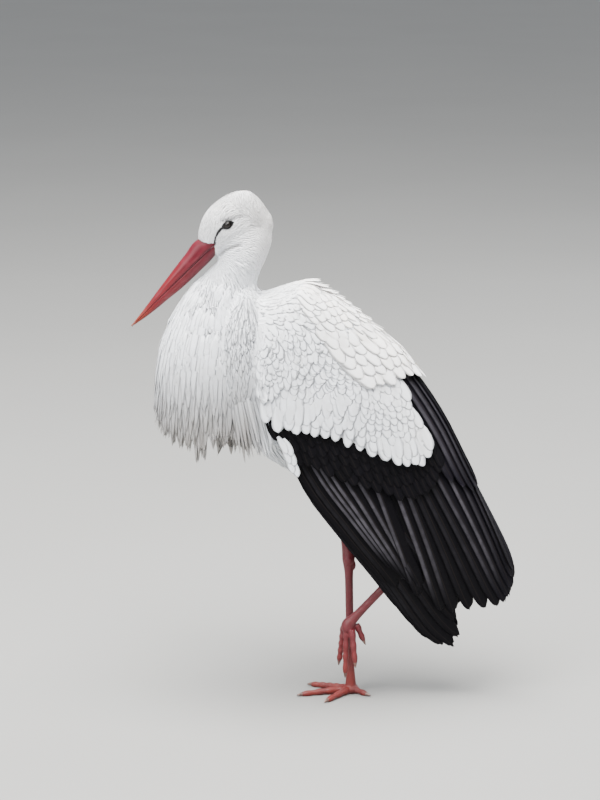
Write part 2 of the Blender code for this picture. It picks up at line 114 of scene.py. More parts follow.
def mottle(tree, scale, detail=3.0, where=None):
    """Cloudy noise, 0 to 1, on the object's own coordinates or on the ones given."""
    if where is None:
        where = add_node(tree, "TexCoord", {}).outputs["Object"]
    return add_node(tree, "TexNoise", {"Scale": scale, "Detail": detail, "Vector": where}).outputs["Fac"]


def carried(tree, name):
    """The value that the mesh carries under that name, whole and as its three numbers."""
    value = add_node(tree, "Attribute", {}, attribute_name=name).outputs["Vector"]
    return value, *add_node(tree, "SeparateXYZ", {0: value}).outputs


def emboss(tree, shader, height, strength, distance):
    """Raises the surface by a pattern, in metres."""
    bump = add_node(tree, "Bump", {"Strength": strength, "Distance": distance, "Height": height})
    feed(tree, shader.inputs["Normal"], bump.outputs[0])


def new_object(name, points, faces, flat=()):
    """A mesh object from points in millimetres. The faces numbered in flat are left unsmoothed."""
    mesh = bpy.data.meshes.new(name)
    mesh.from_pydata((np.asarray(points, float) * MM).tolist(), [], faces)
    smooth = np.ones(len(mesh.polygons), bool)
    smooth[list(flat)] = False
    mesh.polygons.foreach_set("use_smooth", smooth)
    made = bpy.data.objects.new(name, mesh)
    bpy.context.scene.collection.objects.link(made)
    return made


floor_paint, tree, shader = finish_tree("floor_paint", (0.24, 0.24, 0.235), 0.85)
paint(tree, shader, (0.23, 0.23, 0.225), (mottle(tree, 1.5), (0.25, 0.25, 0.245)))
floor = new_object("floor", [(-20000, -9000, 0), (20000, -9000, 0), (20000, 30000, 0), (-20000, 30000, 0)],
                   [(0, 1, 2, 3)])
floor.data.materials.append(floor_paint)

world = bpy.data.worlds.new("studio")
bpy.context.scene.world = world
world.use_nodes = True
world.node_tree.nodes["Background"].inputs[0].default_value = (0.93, 0.96, 1.0, 1)
world.node_tree.nodes["Background"].inputs[1].default_value = 0.85
for name, place, size, power, colour in (
    ("overhead", (-0.4, -0.8, 4.2), 3.6, 1150, (1.0, 0.98, 0.94)),
    ("front_left", (-3.2, -3.4, 2.6), 2.6, 170, (0.96, 0.98, 1.0)),
    ("behind_right", (3.0, 2.6, 2.8), 2.6, 130, (0.95, 0.97, 1.0)),
):
    lamp = bpy.data.lights.new(name, "AREA")
    lamp.size = size
    lamp.energy = power
    lamp.color = colour
    lamp_object = bpy.data.objects.new(name, lamp)
    lamp_object.location = place
    lamp_object.rotation_euler = (LAMP_AIM - Vector(place)).to_track_quat("-Z", "Y").to_euler()
    bpy.context.scene.collection.objects.link(lamp_object)

# ---------------------------------------------------------------------------------------------
# Body skin: one thin hide over head, neck, chest, belly and thighs. It is cast over the joined
# flesh in one go, smoothed, and drawn in by the depth of the plumage that will lie on it.
FLESH = ["head", "neck", "breast_plumes", "trunk", "thigh_left", "thigh_right"]
HIDE_VOXEL = 3.2
# Throat and chest at each height: front, back and half width.
THROAT = [
    (380, -280, -176, 56), (410, -290, -168, 66), (440, -299, -160, 74), (475, -310, -148, 86),
    (510, -315, -141, 90), (550, -316, -138, 90), (590, -309, -140, 86), (630, -294, -147, 76),
    (665, -275, -155, 62), (690, -257, -153, 50), (710, -233, -148, 40),
]
# Muscle of each shoulder, between the chest and the bend of the wing: height, outer side, reach.
SHOULDER_PAD = [(474, 74, 34), (492, 86, 42), (520, 94, 47), (560, 98, 48),
                (600, 96, 47), (635, 86, 42), (662, 71, 29), (681, 58, 15)]
SHOULDER_X, SHOULDER_DEPTH = -170, 34
# Soft pads that round the nape, fill the hollow behind the neck and carry the lids: middle, reach.
SOFT_PADS = [((-149, 0, 785), (23, 17, 30)), ((-128, 0, 652), (34, 62, 18)),
             ((-199, -18.5, 789), (10, 8.2, 10)), ((-199, 18.5, 789), (10, 8.2, 10))]
FACE = np.array((-226.0, 0.0, 750.0))  # inside the bill's base, where the head's feathers part
EYE_PLACE, ORBIT = (-199.0, 21.0, 789.0), (-200, 788)
LID_SLANT = math.radians(25)
JAW_CREASE = [(-212, 738), (-202, 747.5), (-192, 752.5), (-182, 756)]
BROW_HOLLOW = [(-207, 796), (-194, 799.5), (-178, 802.5)]
# Bare black skin from the front corner of the eye to the corner of the mouth.
STREAK = [(-205, 785), (-210, 782.5), (-214, 777), (-218, 769.5), (-219.8, 762), (-220, 755)]
BILL_BASE, BILL_TILT, BILL_SEAM = (-236.0, 746.0), math.radians(44.6), -4.5
# Rear edge of the bill's horn: height over the bill's axis, way forward of its base. It runs
# furthest back at the corner of the mouth.
HORN_EDGE = np.array([(-22, 1), (-13.4, -6), (-7.5, -13), (-3.4, -20.2), (4.3, -11.4), (10.2, -7.6),
                      (18.5, -1.5)])
# Where the locks of the breast end: turn from the front round the chest, and height.
LOCK_TIPS = np.array([(0.0, 498), (0.26, 483), (0.45, 462), (0.63, 446), (0.94, 441), (1.22, 438),
                      (1.34, 412), (1.47, 427), (1.6, 446), (1.92, 449), (2.16, 436), (2.42, 436),
                      (3.2, 440)])


def profile(table, at):
    """The columns of a table read at the given places, on a smooth curve."""
    table = np.array(table, float)
    x, y = table[:, 0], table[:, 1:]
    at = np.clip(np.atleast_1d(np.asarray(at, float)), x[0], x[-1])
    slope = np.gradient(y, x, axis=0)
    k = np.clip(np.searchsorted(x, at, side="right") - 1, 0, len(x) - 2)
    wide = (x[k + 1] - x[k])[:, None]
    t = (at - x[k])[:, None] / wide
    return (
        (2 * t**3 - 3 * t**2 + 1) * y[k]
        + (t**3 - 2 * t**2 + t) * wide * slope[k]
        + (3 * t**2 - 2 * t**3) * y[k + 1]
        + (t**3 - t**2) * wide * slope[k + 1]
    )


def soft_step(value, low, high):
    """0 below low and 1 above high, with a soft slope between."""
    share = np.clip((value - low) / (high - low), 0, 1)
    return share * share * (3 - 2 * share)


def unit(vectors):
    """The same ways, each one long."""
    return vectors / np.maximum(np.linalg.norm(vectors, axis=-1, keepdims=True), 1e-9)


def round_turn(sides):
    """Angles evenly round a ring."""
    return np.arange(sides) * 2 * np.pi / sides


def loft(rings):
    """Points and faces of a closed skin over rings of equal length, with a fan at both ends."""
    sides = len(rings[0])
    points = np.vstack([*rings, rings[0].mean(0), rings[-1].mean(0)])
    faces = []
    last = (len(rings) - 1) * sides
    for start in range(0, last, sides):
        for j in range(sides):
            a, b = start + j, start + (j + 1) % sides
            faces.append((a, b, b + sides, a + sides))
    for j in range(sides):
        faces.append(((j + 1) % sides, j, len(points) - 2))
        faces.append((last + j, last + (j + 1) % sides, len(points) - 1))
    return points, faces


def cast_over(name, solids, voxel, rounds):
    """One closed, smoothed mesh over several closed solids, as an object."""
    joined = bmesh.new()
    for points, faces in solids:
        places = [joined.verts.new(Vector(p) * MM) for p in points]
        for face in faces:
            joined.faces.new([places[k] for k in face])
    bmesh.ops.remove_doubles(joined, verts=joined.verts, dist=2e-6)
    bmesh.ops.recalc_face_normals(joined, faces=joined.faces)
    mesh = bpy.data.meshes.new(name + "_rough")
    joined.to_mesh(mesh)
    joined.free()
    rough = bpy.data.objects.new(name + "_rough", mesh)
    bpy.context.scene.collection.objects.link(rough)
    remesh = rough.modifiers.new("cast", "REMESH")
    remesh.mode = "VOXEL"
    remesh.voxel_size = voxel * MM
    smooth = rough.modifiers.new("smooth", "SMOOTH")
    smooth.factor = 0.5
    smooth.iterations = rounds
    graph = bpy.context.evaluated_depsgraph_get()
    made = bpy.data.objects.new(name, bpy.data.meshes.new_from_object(rough.evaluated_get(graph)))
    made.data.name = name
    bpy.context.scene.collection.objects.link(made)
    bpy.data.objects.remove(rough)
    made.data.polygons.foreach_set("use_smooth", np.ones(len(made.data.polygons), bool))
    return made


def read(mesh, what, field, width=3):
    """One field of all vertices or faces of a mesh as an array."""
    values = np.zeros(len(getattr(mesh, what)) * width)
    getattr(mesh, what).foreach_get(field, values)
    return values.reshape(-1, width)


def mesh_parts(mesh):
    """The points of a mesh in millimetres, and its faces."""
    return read(mesh, "vertices", "co") / MM, [tuple(face.vertices) for face in mesh.polygons]


def level_ring(z, sides, grow):
    """A level ring round the throat or chest."""
    front, back, half = profile(THROAT, z)[0]
    turn = round_turn(sides)
    reach = (back - front) / 2 + grow
    x = (front + back) / 2 - reach * np.cos(turn)
    return np.stack([x, (half + grow) * np.sin(turn), np.full(sides, float(z))], 1)


def blob(place, reach):
    """A closed rounded swelling."""
    turn = round_turn(18)
    rings = []
    for tip in np.linspace(0.3, math.pi - 0.3, 10):
        ring = np.stack([np.sin(tip) * np.cos(turn), np.sin(tip) * np.sin(turn), np.full(18, np.cos(tip))], 1)
        rings.append(np.array(place) + ring * np.array(reach))
    return loft(rings)


def flesh_solids():
    """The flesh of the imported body, with the chest, the shoulders and the soft pads."""
    solids = [mesh_parts(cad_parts[name].data) for name in FLESH]
    solids.append(loft([level_ring(z, 26, -8.0) for z in (446, 480, 520, 560, 600, 640, 676)]))
    turn = round_turn(24)
    for side in (-1, 1):
        rings = []
        for z, outer, reach in SHOULDER_PAD:
            y = side * (outer - SHOULDER_DEPTH + SHOULDER_DEPTH * np.sin(turn))
            rings.append(np.stack([SHOULDER_X + reach * np.cos(turn), y, np.full(24, float(z))], 1))
        solids.append(loft(rings))
    return solids + [blob(place, reach) for place, reach in SOFT_PADS]


def off_line(x, z, line):
    """How far each place lies from a broken line, seen from the side."""
    away = np.full(np.shape(x), 1e9)
    for (xa, za), (xb, zb) in zip(line, line[1:]):
        share = ((x - xa) * (xb - xa) + (z - za) * (zb - za)) / ((xb - xa) ** 2 + (zb - za) ** 2)
        share = np.clip(share, 0, 1)
        away = np.minimum(away, np.hypot(x - xa - share * (xb - xa), z - za - share * (zb - za)))
    return away


def off_eye(points, stretch):
    """How far each place lies from the middle of the eye, on an oval that slants with the lids."""
    lean = np.round([math.cos(LID_SLANT), math.sin(LID_SLANT)], 3)
    dx, dz = points[:, 0] - EYE_PLACE[0], points[:, 2] - EYE_PLACE[2]
    return np.hypot(dx * lean[0] + dz * lean[1], (dx * lean[1] - dz * lean[0]) * stretch)


def along_bill(points):
    """Way forward along the bill and height over its axis."""
    dx, dz = points[:, 0] - BILL_BASE[0], points[:, 2] - BILL_BASE[1]
    cos, sin = math.cos(BILL_TILT), math.sin(BILL_TILT)
    return -dx * cos - dz * sin, -dx * sin + dz * cos


def before_horn(points):
    """How far each place lies in front of the horn's rear edge."""
    way, up = along_bill(points)
    return np.where(up > -23, way - np.interp(up, HORN_EDGE[:, 0], HORN_EDGE[:, 1]), -50)


def hollows(points):
    """How far the face is drawn in: under the jaw, under the brow and round the eye."""
    x, y, z = points.T
    beside = soft_step(np.abs(y), 8, 16)
    jaw = 3.0 * np.exp(-((off_line(x, z, JAW_CREASE) / 2.8) ** 2))
    brow = 1.1 * np.exp(-((off_line(x, z, BROW_HOLLOW) / 4.0) ** 2))
    orbit = 0.9 * np.exp(-((np.hypot(x - ORBIT[0], z - ORBIT[1]) / 11.0) ** 4))
    return beside * (jaw + brow + orbit) + 2.4 * soft_step(before_horn(points), -1.5, 2.0)


form = cast_over("form", flesh_solids(), HIDE_VOXEL, 6)
form_points, form_faces = mesh_parts(form.data)
form_normals = read(form.data, "vertices", "normal")
form_points -= form_normals * hollows(form_points)[:, None]
form_points[:, 1] *= 1 - 0.25 * soft_step(before_horn(form_points), -0.5, 3.0)  # slips under the horn

Surface = namedtuple("Surface", "tree points corners middles normals areas")


def survey(points, normals, faces):
    """What feathers need to know of a surface: its tree, and its faces' corners, middles and normals."""
    corners = np.array([face[:4] if len(face) > 3 else (*face, face[2]) for face in faces])
    a, b, c, d = (points[corners[:, k]] for k in range(4))
    areas = 0.5 * np.linalg.norm(np.cross(c - a, d - b), axis=1)
    tree = BVHTree.FromPolygons(points.tolist(), faces)
    return Surface(tree, points, corners, points[corners].mean(1), unit(normals[corners].mean(1)), areas)


body = survey(form_points, form_normals, form_faces)


def reach_from_face(points):
    """How far each place lies from the root of the bill."""
    return np.linalg.norm(points - FACE, axis=1)


def coat_depth(points):
    """How deep the plumage lies over the skin."""
    depth = 1.5 + 3.0 * soft_step(reach_from_face(points), 95, 165)
    chest = soft_step(700 - points[:, 2], 0, 120) * (1 - soft_step(points[:, 0], -170, -120))
    return depth + 5.0 * chest + 1.0 * soft_step(points[:, 0], -150, -60)


def markings_and_painted_light(points):
    """How warm (cream plumage, and painted warm light on the top), how bare and black, and how much painted
    shade and buff soiling the bird carries at each place.
    """
    x, y, z = points.T
    black = (1 - soft_step(off_eye(points, 1.55), 9.4, 10.6)) * (np.abs(y) > 12)
    streak = off_line(x, z, STREAK) - 1.0 * soft_step(z, 768, 782)
    black = np.maximum(black, (1 - soft_step(streak, 1.1, 1.9)) * (np.abs(y) > 9))
    # Painted shadow along the crease under the jaw.
    jaw = 0.60 * np.exp(-((off_line(x, z, JAW_CREASE) / 1.9) ** 2)) * (np.abs(y) > 8)
    # Painted shadow in the hollow under the brow.
    brow = 0.30 * np.exp(-((off_line(x, z, BROW_HOLLOW) / 3.5) ** 2)) * (np.abs(y) > 12)
    # Warmer on the crown and the back: partly cream plumage, partly painted warm light from above.
    warm = 0.45 * soft_step(z, 690, 830) + 0.3 * soft_step(x, -180, -130) * soft_step(z, 600, 700)
    # Darker on the lower breast: partly painted shade, partly buff soiling.
    breast = 0.95 * (1 - soft_step(z, 440, 618)) * (1 - soft_step(x, -170, -120))
    # Painted shade low on the belly.
    belly = 0.35 * soft_step(x, -160, -90) * (1 - soft_step(z, 380, 520))
    return np.stack([warm, black, np.max([jaw, brow, breast, belly], axis=0)], 1)


def carry(made, **values):
    """Stores three numbers under each name, for each vertex of a piece or the same for all."""
    for name, value in values.items():
        kept = made.data.attributes.new(name, "FLOAT_VECTOR", "POINT")
        spots = np.broadcast_to(np.asarray(value, float), (len(made.data.vertices), 3))
        kept.data.foreach_set("vector", spots.ravel())


def dress(made, finish, slot, *nodes):
    """Gives a piece its material and its body, and hides the solids that it stands for. The slot is not used.
    """
    made.data.materials.append(finish)
    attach(made, "root")
    if nodes:
        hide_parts(*nodes)
    return made


def barbs(tree, shader, vane, scale, wander, strength, distance):
    """Fine slanting ridges across each vane."""
    wave = add_node(tree, "TexWave", {"Scale": scale, "Distortion": wander, "Vector": vane},
                    wave_type="BANDS", bands_direction="DIAGONAL")
    emboss(tree, shader, wave.outputs["Fac"], strength, distance)


white, tree, shader = finish_tree(
    "white_plumage", (0.86, 0.85, 0.82), 0.82, Subsurface_Weight=0.35,
    Subsurface_Radius=(0.004, 0.0035, 0.003), Subsurface_Scale=1.0, Specular_IOR_Level=0.25)
_, warm, black, painted_shade_and_buff = carried(tree, "mark")
vane, across, along, chance = carried(tree, "vane")
paint(
    # The ground is a cool blue-white: painted sky shade over all the plumage that is not warmed.
    tree, shader, (0.87, 0.895, 0.945),
    # Warm coat: partly cream plumage, partly painted warm light on the top of the bird.
    (warm, (0.95, 0.90, 0.85)),
    # Painted shade in the jaw crease, under the brow and on the underside, with buff soiling on the breast.
    (painted_shade_and_buff, (0.19, 0.172, 0.155)),
    (spread(tree, mottle(tree, 26.0), 0.45, 0.75, 0.0, 0.14), (0.80, 0.76, 0.73)),
    (spread(tree, chance, 0.0, 1.0, 0.0, 0.12), (0.79, 0.80, 0.83)),
    # Painted shade: each feather darker towards its root, where the feathers above it shade it.
    (spread(tree, along, 0.1, 0.6, 0.14, 0.0), (0.72, 0.72, 0.74)),
    (spread(tree, reckon(tree, "ABSOLUTE", across), 0.03, 0.12, 0.09, 0.0), (0.72, 0.68, 0.62)),
    (black, (0.012, 0.011, 0.012)),
)
barbs(tree, shader, vane, 9.0, 1.2, 0.25, 0.0002)
WHITE = (white, "plumage_white")

skin_points = form_points - form_normals * coat_depth(form_points)[:, None]
# The skin of the chest ends above the tips of the locks.
CHEST_HEM = 520
x, y, z = skin_points.T
around = np.arctan2(np.abs(y) / 88, (-228 - x) / 85)
shorter = np.clip((512 - np.interp(around, *LOCK_TIPS.T)) / 100, 0.15, 1)
shorter += (1 - shorter) * np.maximum(soft_step(around, 2.2, 2.6), soft_step(x, -170, -145))
skin_points[:, 2] = np.where(z < CHEST_HEM, CHEST_HEM - (CHEST_HEM - z) * shorter, z)
skin = new_object("skin", skin_points, form_faces)
carry(skin, vane=(0.5, 0.75, 0.5), mark=markings_and_painted_light(form_points))
dress(skin, *WHITE, *FLESH)
bpy.data.objects.remove(form)

# ---------------------------------------------------------------------------------------------
# Eyes and lids: dark glass balls set in the head, each with a brown iris, under bare black lids
# that lie on the ball and run into the skin of the cheek.
SIDES = (("left", -1), ("right", 1))
EYE_RADIUS, PUPIL_BULGE = 7.8, 0.5
EYE_SIDES, LID_SIDES, LID_RINGS = 48, 64, 12
OPENING = np.array((6.3, 4.5))  # half length and half height between the lids
LID_REACH = np.array((9.4, 6.2))

glass, tree, shader = finish_tree("eye_glass", (0.02, 0.014, 0.012), 0.04, Specular_IOR_Level=0.4)
_, out, _, _ = carried(tree, "iris")
paint(
    tree, shader, (0.0008, 0.0008, 0.001),
    (spread(tree, out, 2.3, 2.7), (0.005, 0.0028, 0.002)),
    (spread(tree, out, 4.0, 5.2), (0.005, 0.004, 0.004)),
    (spread(tree, mottle(tree, 900.0), 0.4, 0.7, 0.0, 0.5), (0.010, 0.005, 0.003)),
)

lid_skin, tree, shader = finish_tree("black_bare_skin", (0.014, 0.013, 0.014), 0.6, Specular_IOR_Level=0.2)
paint(tree, shader, (0.003, 0.003, 0.0035), (mottle(tree, 700.0), (0.008, 0.007, 0.008)))
emboss(tree, shader, mottle(tree, 1800.0), 0.5, 0.0004)


def eyeball(name, middle, side):
    """A ball that bulges a little over the pupil, with each point's way out from its middle."""
    turn = round_turn(EYE_SIDES)
    rings, outs = [], []
    for i in range(33):
        tip = math.pi * (0.02 + 0.96 * i / 32)
        out = EYE_RADIUS * math.sin(tip)
        bulge = EYE_RADIUS + PUPIL_BULGE * math.exp(-(out / 3.6) ** 2) * (tip < math.pi / 2)
        x, z = bulge * math.sin(tip) * np.cos(turn), bulge * math.sin(tip) * np.sin(turn) * side
        rings.append(middle + np.stack([x, np.full(EYE_SIDES, side * bulge * math.cos(tip)), z], 1))
        outs += [(out, 0, 0)] * EYE_SIDES
    made = new_object(name, *loft(rings))
    carry(made, iris=outs + [(0, 0, 0)] * 2)
    return made


def lid_ring(middle, side, share):
    """One ring of the lids, from their free edge on the ball (0) to the cheek (1)."""
    turn = round_turn(LID_SIDES)
    corner = 1 + 0.24 * np.clip(-np.cos(turn), 0, 1) ** 6 + 0.20 * np.clip(np.cos(turn), 0, 1) ** 6
    half_long, half_tall = OPENING + (LID_REACH - OPENING) * share
    long, tall = half_long * np.cos(turn) * corner, half_tall * np.sin(turn)
    cos, sin = math.cos(LID_SLANT), math.sin(LID_SLANT)
    ring = []
    for x, z in zip(middle[0] + (long * cos - tall * sin), middle[2] + (long * sin + tall * cos)):
        out = math.hypot(x - middle[0], z - middle[2])
        on_ball = EYE_PLACE[1] + math.sqrt(max((EYE_RADIUS + PUPIL_BULGE) ** 2 - out**2, 0.0))
        hit = body.tree.ray_cast(Vector((x, side * 60, z)), Vector((0, -side, 0)))[0]
        on_cheek = abs(hit.y) - 0.4 if hit else EYE_PLACE[1]
        blend = soft_step(out, 5.4, 8.4)
        lift = 0.25 * math.sin(math.pi * share) + 0.25 * (share < 0.1)
        ring.append((x, side * (on_ball * (1 - blend) + on_cheek * blend + lift), z))
    return np.array(ring)


for side_name, side in SIDES:
    middle = np.array((EYE_PLACE[0], side * EYE_PLACE[1], EYE_PLACE[2]))
    dress(eyeball(f"eyeball_{side_name}", middle, side), glass, "eye_dark", f"eye_{side_name}")
    rings = [lid_ring(middle, side, i / (LID_RINGS - 1)) for i in range(LID_RINGS)]
    rings = [rings[0] - np.array((0, side * 1.2, 0)), *rings, rings[-1] - np.array((0, side * 2.5, 0))]
    grid = np.arange(len(rings) * LID_SIDES).reshape(-1, LID_SIDES)
    beyond = np.roll(grid, -1, 0)
    faces = np.stack([grid, np.roll(grid, -1, 1), np.roll(beyond, -1, 1), beyond], -1).reshape(-1, 4)
    lids = new_object(f"lids_{side_name}", np.vstack(rings), faces[:, ::side].tolist())
    dress(lids, lid_skin, "eye_dark")

# ---------------------------------------------------------------------------------------------
# Bill: two horny sheaths over bone, the upper overlapping the lower along the cutting edge. Turned
# from one table of sections, with the nostril slits, the grooves before them and the growth lines.

# Way forward from the base, height of the ridge, height of the keel, half width.
BILL_SHAPE = [
    (-24, 6, -11, 18.2), (-16, 12, -15, 18.3), (-7, 17.5, -18, 16.6), (0, 19.5, -19, 14.8),
    (30, 16, -19.6, 12.4), (75, 9.6, -18.6, 10), (100, 5.8, -16.2, 8.2), (122, 2.2, -14.4, 6.6),
    (146, -1.4, -11.6, 4.6), (165, -4, -8.2, 2.6), (173, -5.2, -6.6, 1.1),
]
ARCH_POINTS = 29

horn, tree, shader = finish_tree("red_bill_horn", (0.42, 0.04, 0.06), 0.42,
                                 Specular_IOR_Level=0.3, Coat_Weight=0.10, Coat_Roughness=0.3)
grain_place, way, height, _ = carried(tree, "bill")
lines = mottle(tree, 1.0, 4.0, grain_place)
edge_line = spread(tree, reckon(tree, "ABSOLUTE", height), 0.0, 0.07, 0.75, 0.0)
paint(
    tree, shader, (0.085, 0.0018, 0.0095),
    (spread(tree, way, 0.0, 1.1), (0.125, 0.004, 0.0075)),
    (spread(tree, way, 1.15, 1.78), (0.20, 0.028, 0.009)),
    (spread(tree, lines, 0.42, 0.62, 0.0, 0.55), (0.055, 0.001, 0.005)),
    (spread(tree, mottle(tree, 55.0), 0.50, 0.74, 0.0, 0.30), (0.15, 0.018, 0.03)),
    (edge_line, (0.08, 0.006, 0.010)),
)
feed(tree, shader.inputs["Roughness"], spread(tree, lines, 0.3, 0.7, 0.34, 0.55))
emboss(tree, shader, lines, 0.5, 0.0006)


def bill_half(name, upper):
    """One sheath: an arch of the section above or below the cutting edge, closed inside the mouth."""
    turn = np.linspace(0, np.pi, ARCH_POINTS)
    arch, aside = np.sin(turn) ** 0.8, np.cos(turn)
    rings, grain = [], []
    for way in np.concatenate([np.linspace(-24, 150, 88), np.linspace(152, BILL_SHAPE[-1][0], 12)]):
        ridge, keel, half = profile(BILL_SHAPE, way)[0]
        tall = ridge - keel
        seam = min(max(BILL_SEAM, keel + 0.3 * tall), ridge - 0.4 * tall)
        if upper:
            reach, up = half * aside, seam + 0.2 + (ridge - seam - 0.2) * arch
            lip, inside = half * 0.70, 1.2
            nostril = seam + 3.5 + 4.6 * (1 - way / 120)
            groove = 0.75 * soft_step(way, -8, 10) * (1 - soft_step(way, 60, 118))
            dent = groove * np.exp(-((up - nostril) / 1.25) ** 2)
            dent += 1.5 * math.exp(-((way - 20) / 6.5) ** 4) * np.exp(-((up - nostril) / 0.9) ** 2)
            dent += 0.35 * soft_step(way, -5, 10) * np.exp(-((up - seam - 2.2) / 0.9) ** 2)
        else:
            reach, up = half * 0.955 * aside, seam - 0.5 + (keel - seam + 0.5) * arch
            lip, inside = half * 0.66, -1.4
            groove = 0.5 * soft_step(way, -5, 15) * (1 - soft_step(way, 90, 130))
            dent = groove * np.exp(-((seam - up - 7.5) / 1.2) ** 2)
        across = np.concatenate([reach - np.sign(aside) * dent, [-lip, 0, lip]])
        heights = np.concatenate([up, [seam + inside] * 3])
        x = BILL_BASE[0] - math.cos(BILL_TILT) * way - math.sin(BILL_TILT) * heights
        z = BILL_BASE[1] - math.sin(BILL_TILT) * way + math.cos(BILL_TILT) * heights
        rings.append(np.stack([x, across, z], 1))
        share = np.concatenate([np.linspace(0, 1, ARCH_POINTS), [1, 1, 1]])
        grain += [(way / 100.0, (up - seam) / 10.0, 9.0 * s) for up, s in zip(heights, share)]
    points, faces = loft(rings)
    if upper:
        faces = [face[::-1] for face in faces]
    made = new_object(name, points, faces)
    carry(made, bill=[*grain, grain[0], grain[-1]])
    return made


dress(bill_half("bill_sheath_upper", True), horn, "bill_red", "bill_upper")
dress(bill_half("bill_sheath_lower", False), horn, "bill_red", "bill_lower")

# ---------------------------------------------------------------------------------------------
# Feathers of the head and neck: short, soft and close on the face, longer down the nape and the
# throat. Each is a thin cambered vane laid from its root along the lie of the coat.
PATCH = 0.003  # across, of each feather on the unrolled skin
# A vane's outline: places from root to tip, and the share of the full width at each.
SOFT_VANE = ([0.0, 0.35, 0.65, 0.88, 1.0], [0.5, 1.0, 0.95, 0.58, 0.10])


def scatter(surface, wanted, gap, rng):
    """Roots spread evenly over the faces that are wanted, at least a gap apart."""
    share = np.where(wanted, surface.areas, 0.0)
    count = int(share.sum() / gap**2 * 5)
    picks = rng.choice(len(share), count, p=share / share.sum())
    mix = rng.random((count, 4)) + 0.05
    mix /= mix.sum(1, keepdims=True)
    places = (surface.points[surface.corners[picks]] * mix[:, :, None]).sum(1)
    around = list(product((-1, 0, 1), repeat=3))
    cells, kept = {}, []
    for k, ((x, y, z), (a, b, c)) in enumerate(zip(places, np.floor(places / gap).astype(int))):
        near = (q for i, j, k in around for q in cells.get((a + i, b + j, c + k), ()))
        if all((x - q[0]) ** 2 + (y - q[1]) ** 2 + (z - q[2]) ** 2 >= gap * gap for q in near):
            cells.setdefault((a, b, c), []).append((x, y, z))
            kept.append(k)
    return places[kept]


def lie_of_coat(p):
    """The way the feathers point at a place: back from the face, down the neck, back along the belly."""
    out = p - Vector(FACE)
    down = min(max((out.length - 62) / 45, 0), 1)
    way = out.normalized() * (1 - down) + Vector((0.05, 0, -1)) * down
    if p.x > -165 and p.z < 600:
        back = min((p.x + 165) / 60, 1)
        way = way * (1 - back) + Vector((0.62, 0, -0.78)) * back
    return way


def comb(surface, roots, lengths, rows, turn, deep, lift, lie):
    """Walks each feather over a surface from its root, and gives its line and the normals along it."""
    lines = np.zeros((len(roots), len(rows), 3))
    ups = np.zeros_like(lines)
    for k, root in enumerate(roots):
        p = Vector(root)
        up = Vector(surface.normals[surface.tree.find_nearest(p)[2]])
        lines[k, 0], ups[k, 0] = p, up
        for i in range(1, len(rows)):
            step = lengths[k] * (rows[i] - rows[i - 1])
            way = lie(p)
            way = way - up * way.dot(up)
            if way.length < 1e-3:
                way = up.cross(Vector((0, 1, 0)))
            way.normalize()
            way = way + up.cross(way) * turn[k]
            p = p + way.normalized() * step
            place, _, face, away = surface.tree.find_nearest(p)
            normal = Vector(surface.normals[face])
            if away < 0.8 * step + 1.5 and normal.dot(up) > 0.25:
                p, up = place, normal
            lines[k, i], ups[k, i] = p, up
    rows = np.array(rows)
    sink = -deep[:, None] * (1 - rows) ** 1.3 + lift[:, None] * rows**2
    return lines + ups * sink[:, :, None], ups


def lay_vanes(name, lines, ups, widths, vane, marks, roots, rng, columns=3, camber=0.16,
              ragged=0.0, shaft=0.0, shingle=0.0, flip=1.0):
    """Many feathers as one mesh: cambered above, flat below, closed at the root and the tip."""
    rows, outline = (np.array(part) for part in vane)
    count, steps = lines.shape[:2]
    ahead = unit(np.gradient(lines, axis=1))
    aside = unit(np.cross(ups, ahead))
    across = np.linspace(-1, 1, columns)
    reach = 0.5 * widths[:, None] * outline
    beside = (across + shaft * flip) * reach[:, :, None]
    fall = camber * reach[:, :, None] * across**2 + shingle * (across * flip + 1) / 2
    points = lines[:, :, None, :] + aside[:, :, None, :] * beside[..., None]
    points = points - ups[:, :, None, :] * fall[..., None]
    length = np.linalg.norm(lines[:, -1] - lines[:, 0], axis=1)
    for row, share in ((-1, 1.0), (-2, 0.5)):
        push = ragged * share * length[:, None] * (rng.random((count, columns)) - 0.5)
        points[:, row] += ahead[:, row, None, :] * push[..., None]
    points = points.reshape(-1, 3)
    grid = np.arange(steps * columns).reshape(steps, columns)
    top = np.stack([grid[:-1, :-1], grid[1:, :-1], grid[1:, 1:], grid[:-1, 1:]], -1).reshape(-1, 4)
    under = np.stack([grid[:-1, 0], grid[:-1, -1], grid[1:, -1], grid[1:, 0]], -1)
    starts = np.arange(count) * grid.size
    faces = []
    for part in (top, under, grid[:1], grid[-1:, ::-1]):
        faces += (part + starts[:, None, None]).reshape(-1, part.shape[1]).tolist()
    made = new_object(name, points, faces, range(len(top) * count, len(faces)))
    values = np.zeros((count, steps, columns, 3))
    values[..., 0] = across * flip
    values[..., 1] = rows[:, None]
    values[..., 2] = rng.random(count)[:, None, None]
    if marks is None:
        marks = markings_and_painted_light(points)
    else:
        marks = np.repeat(np.broadcast_to(marks, (count, 3)), grid.size, axis=0)
    carry(made, vane=values.reshape(-1, 3), mark=marks)
    local = np.stack(np.broadcast_arrays(0.5 * across, rows[:, None] - 0.5), -1).reshape(-1, 2) * PATCH
    places = (roots[:, None, :] + local).reshape(-1, 2)
    corner = np.zeros(len(made.data.loops), int)
    made.data.loops.foreach_get("vertex_index", corner)
    made.data.uv_layers.new(name="OFBake").data.foreach_set("uv", places[corner].ravel())
    return made


def unrolled(points):
    """Places on the body's skin unrolled round its upright middle line, 0 to 1 both ways."""
    x, y, z = np.asarray(points).T
    middle = np.interp(z, [380, 560, 700, 760], [-60, -90, -190, -180])
    around = np.arctan2(y, middle - x) / (2 * np.pi)
    return np.stack([0.5 + 0.97 * around, 0.02 + 0.95 * (z - 250) / 600], 1)


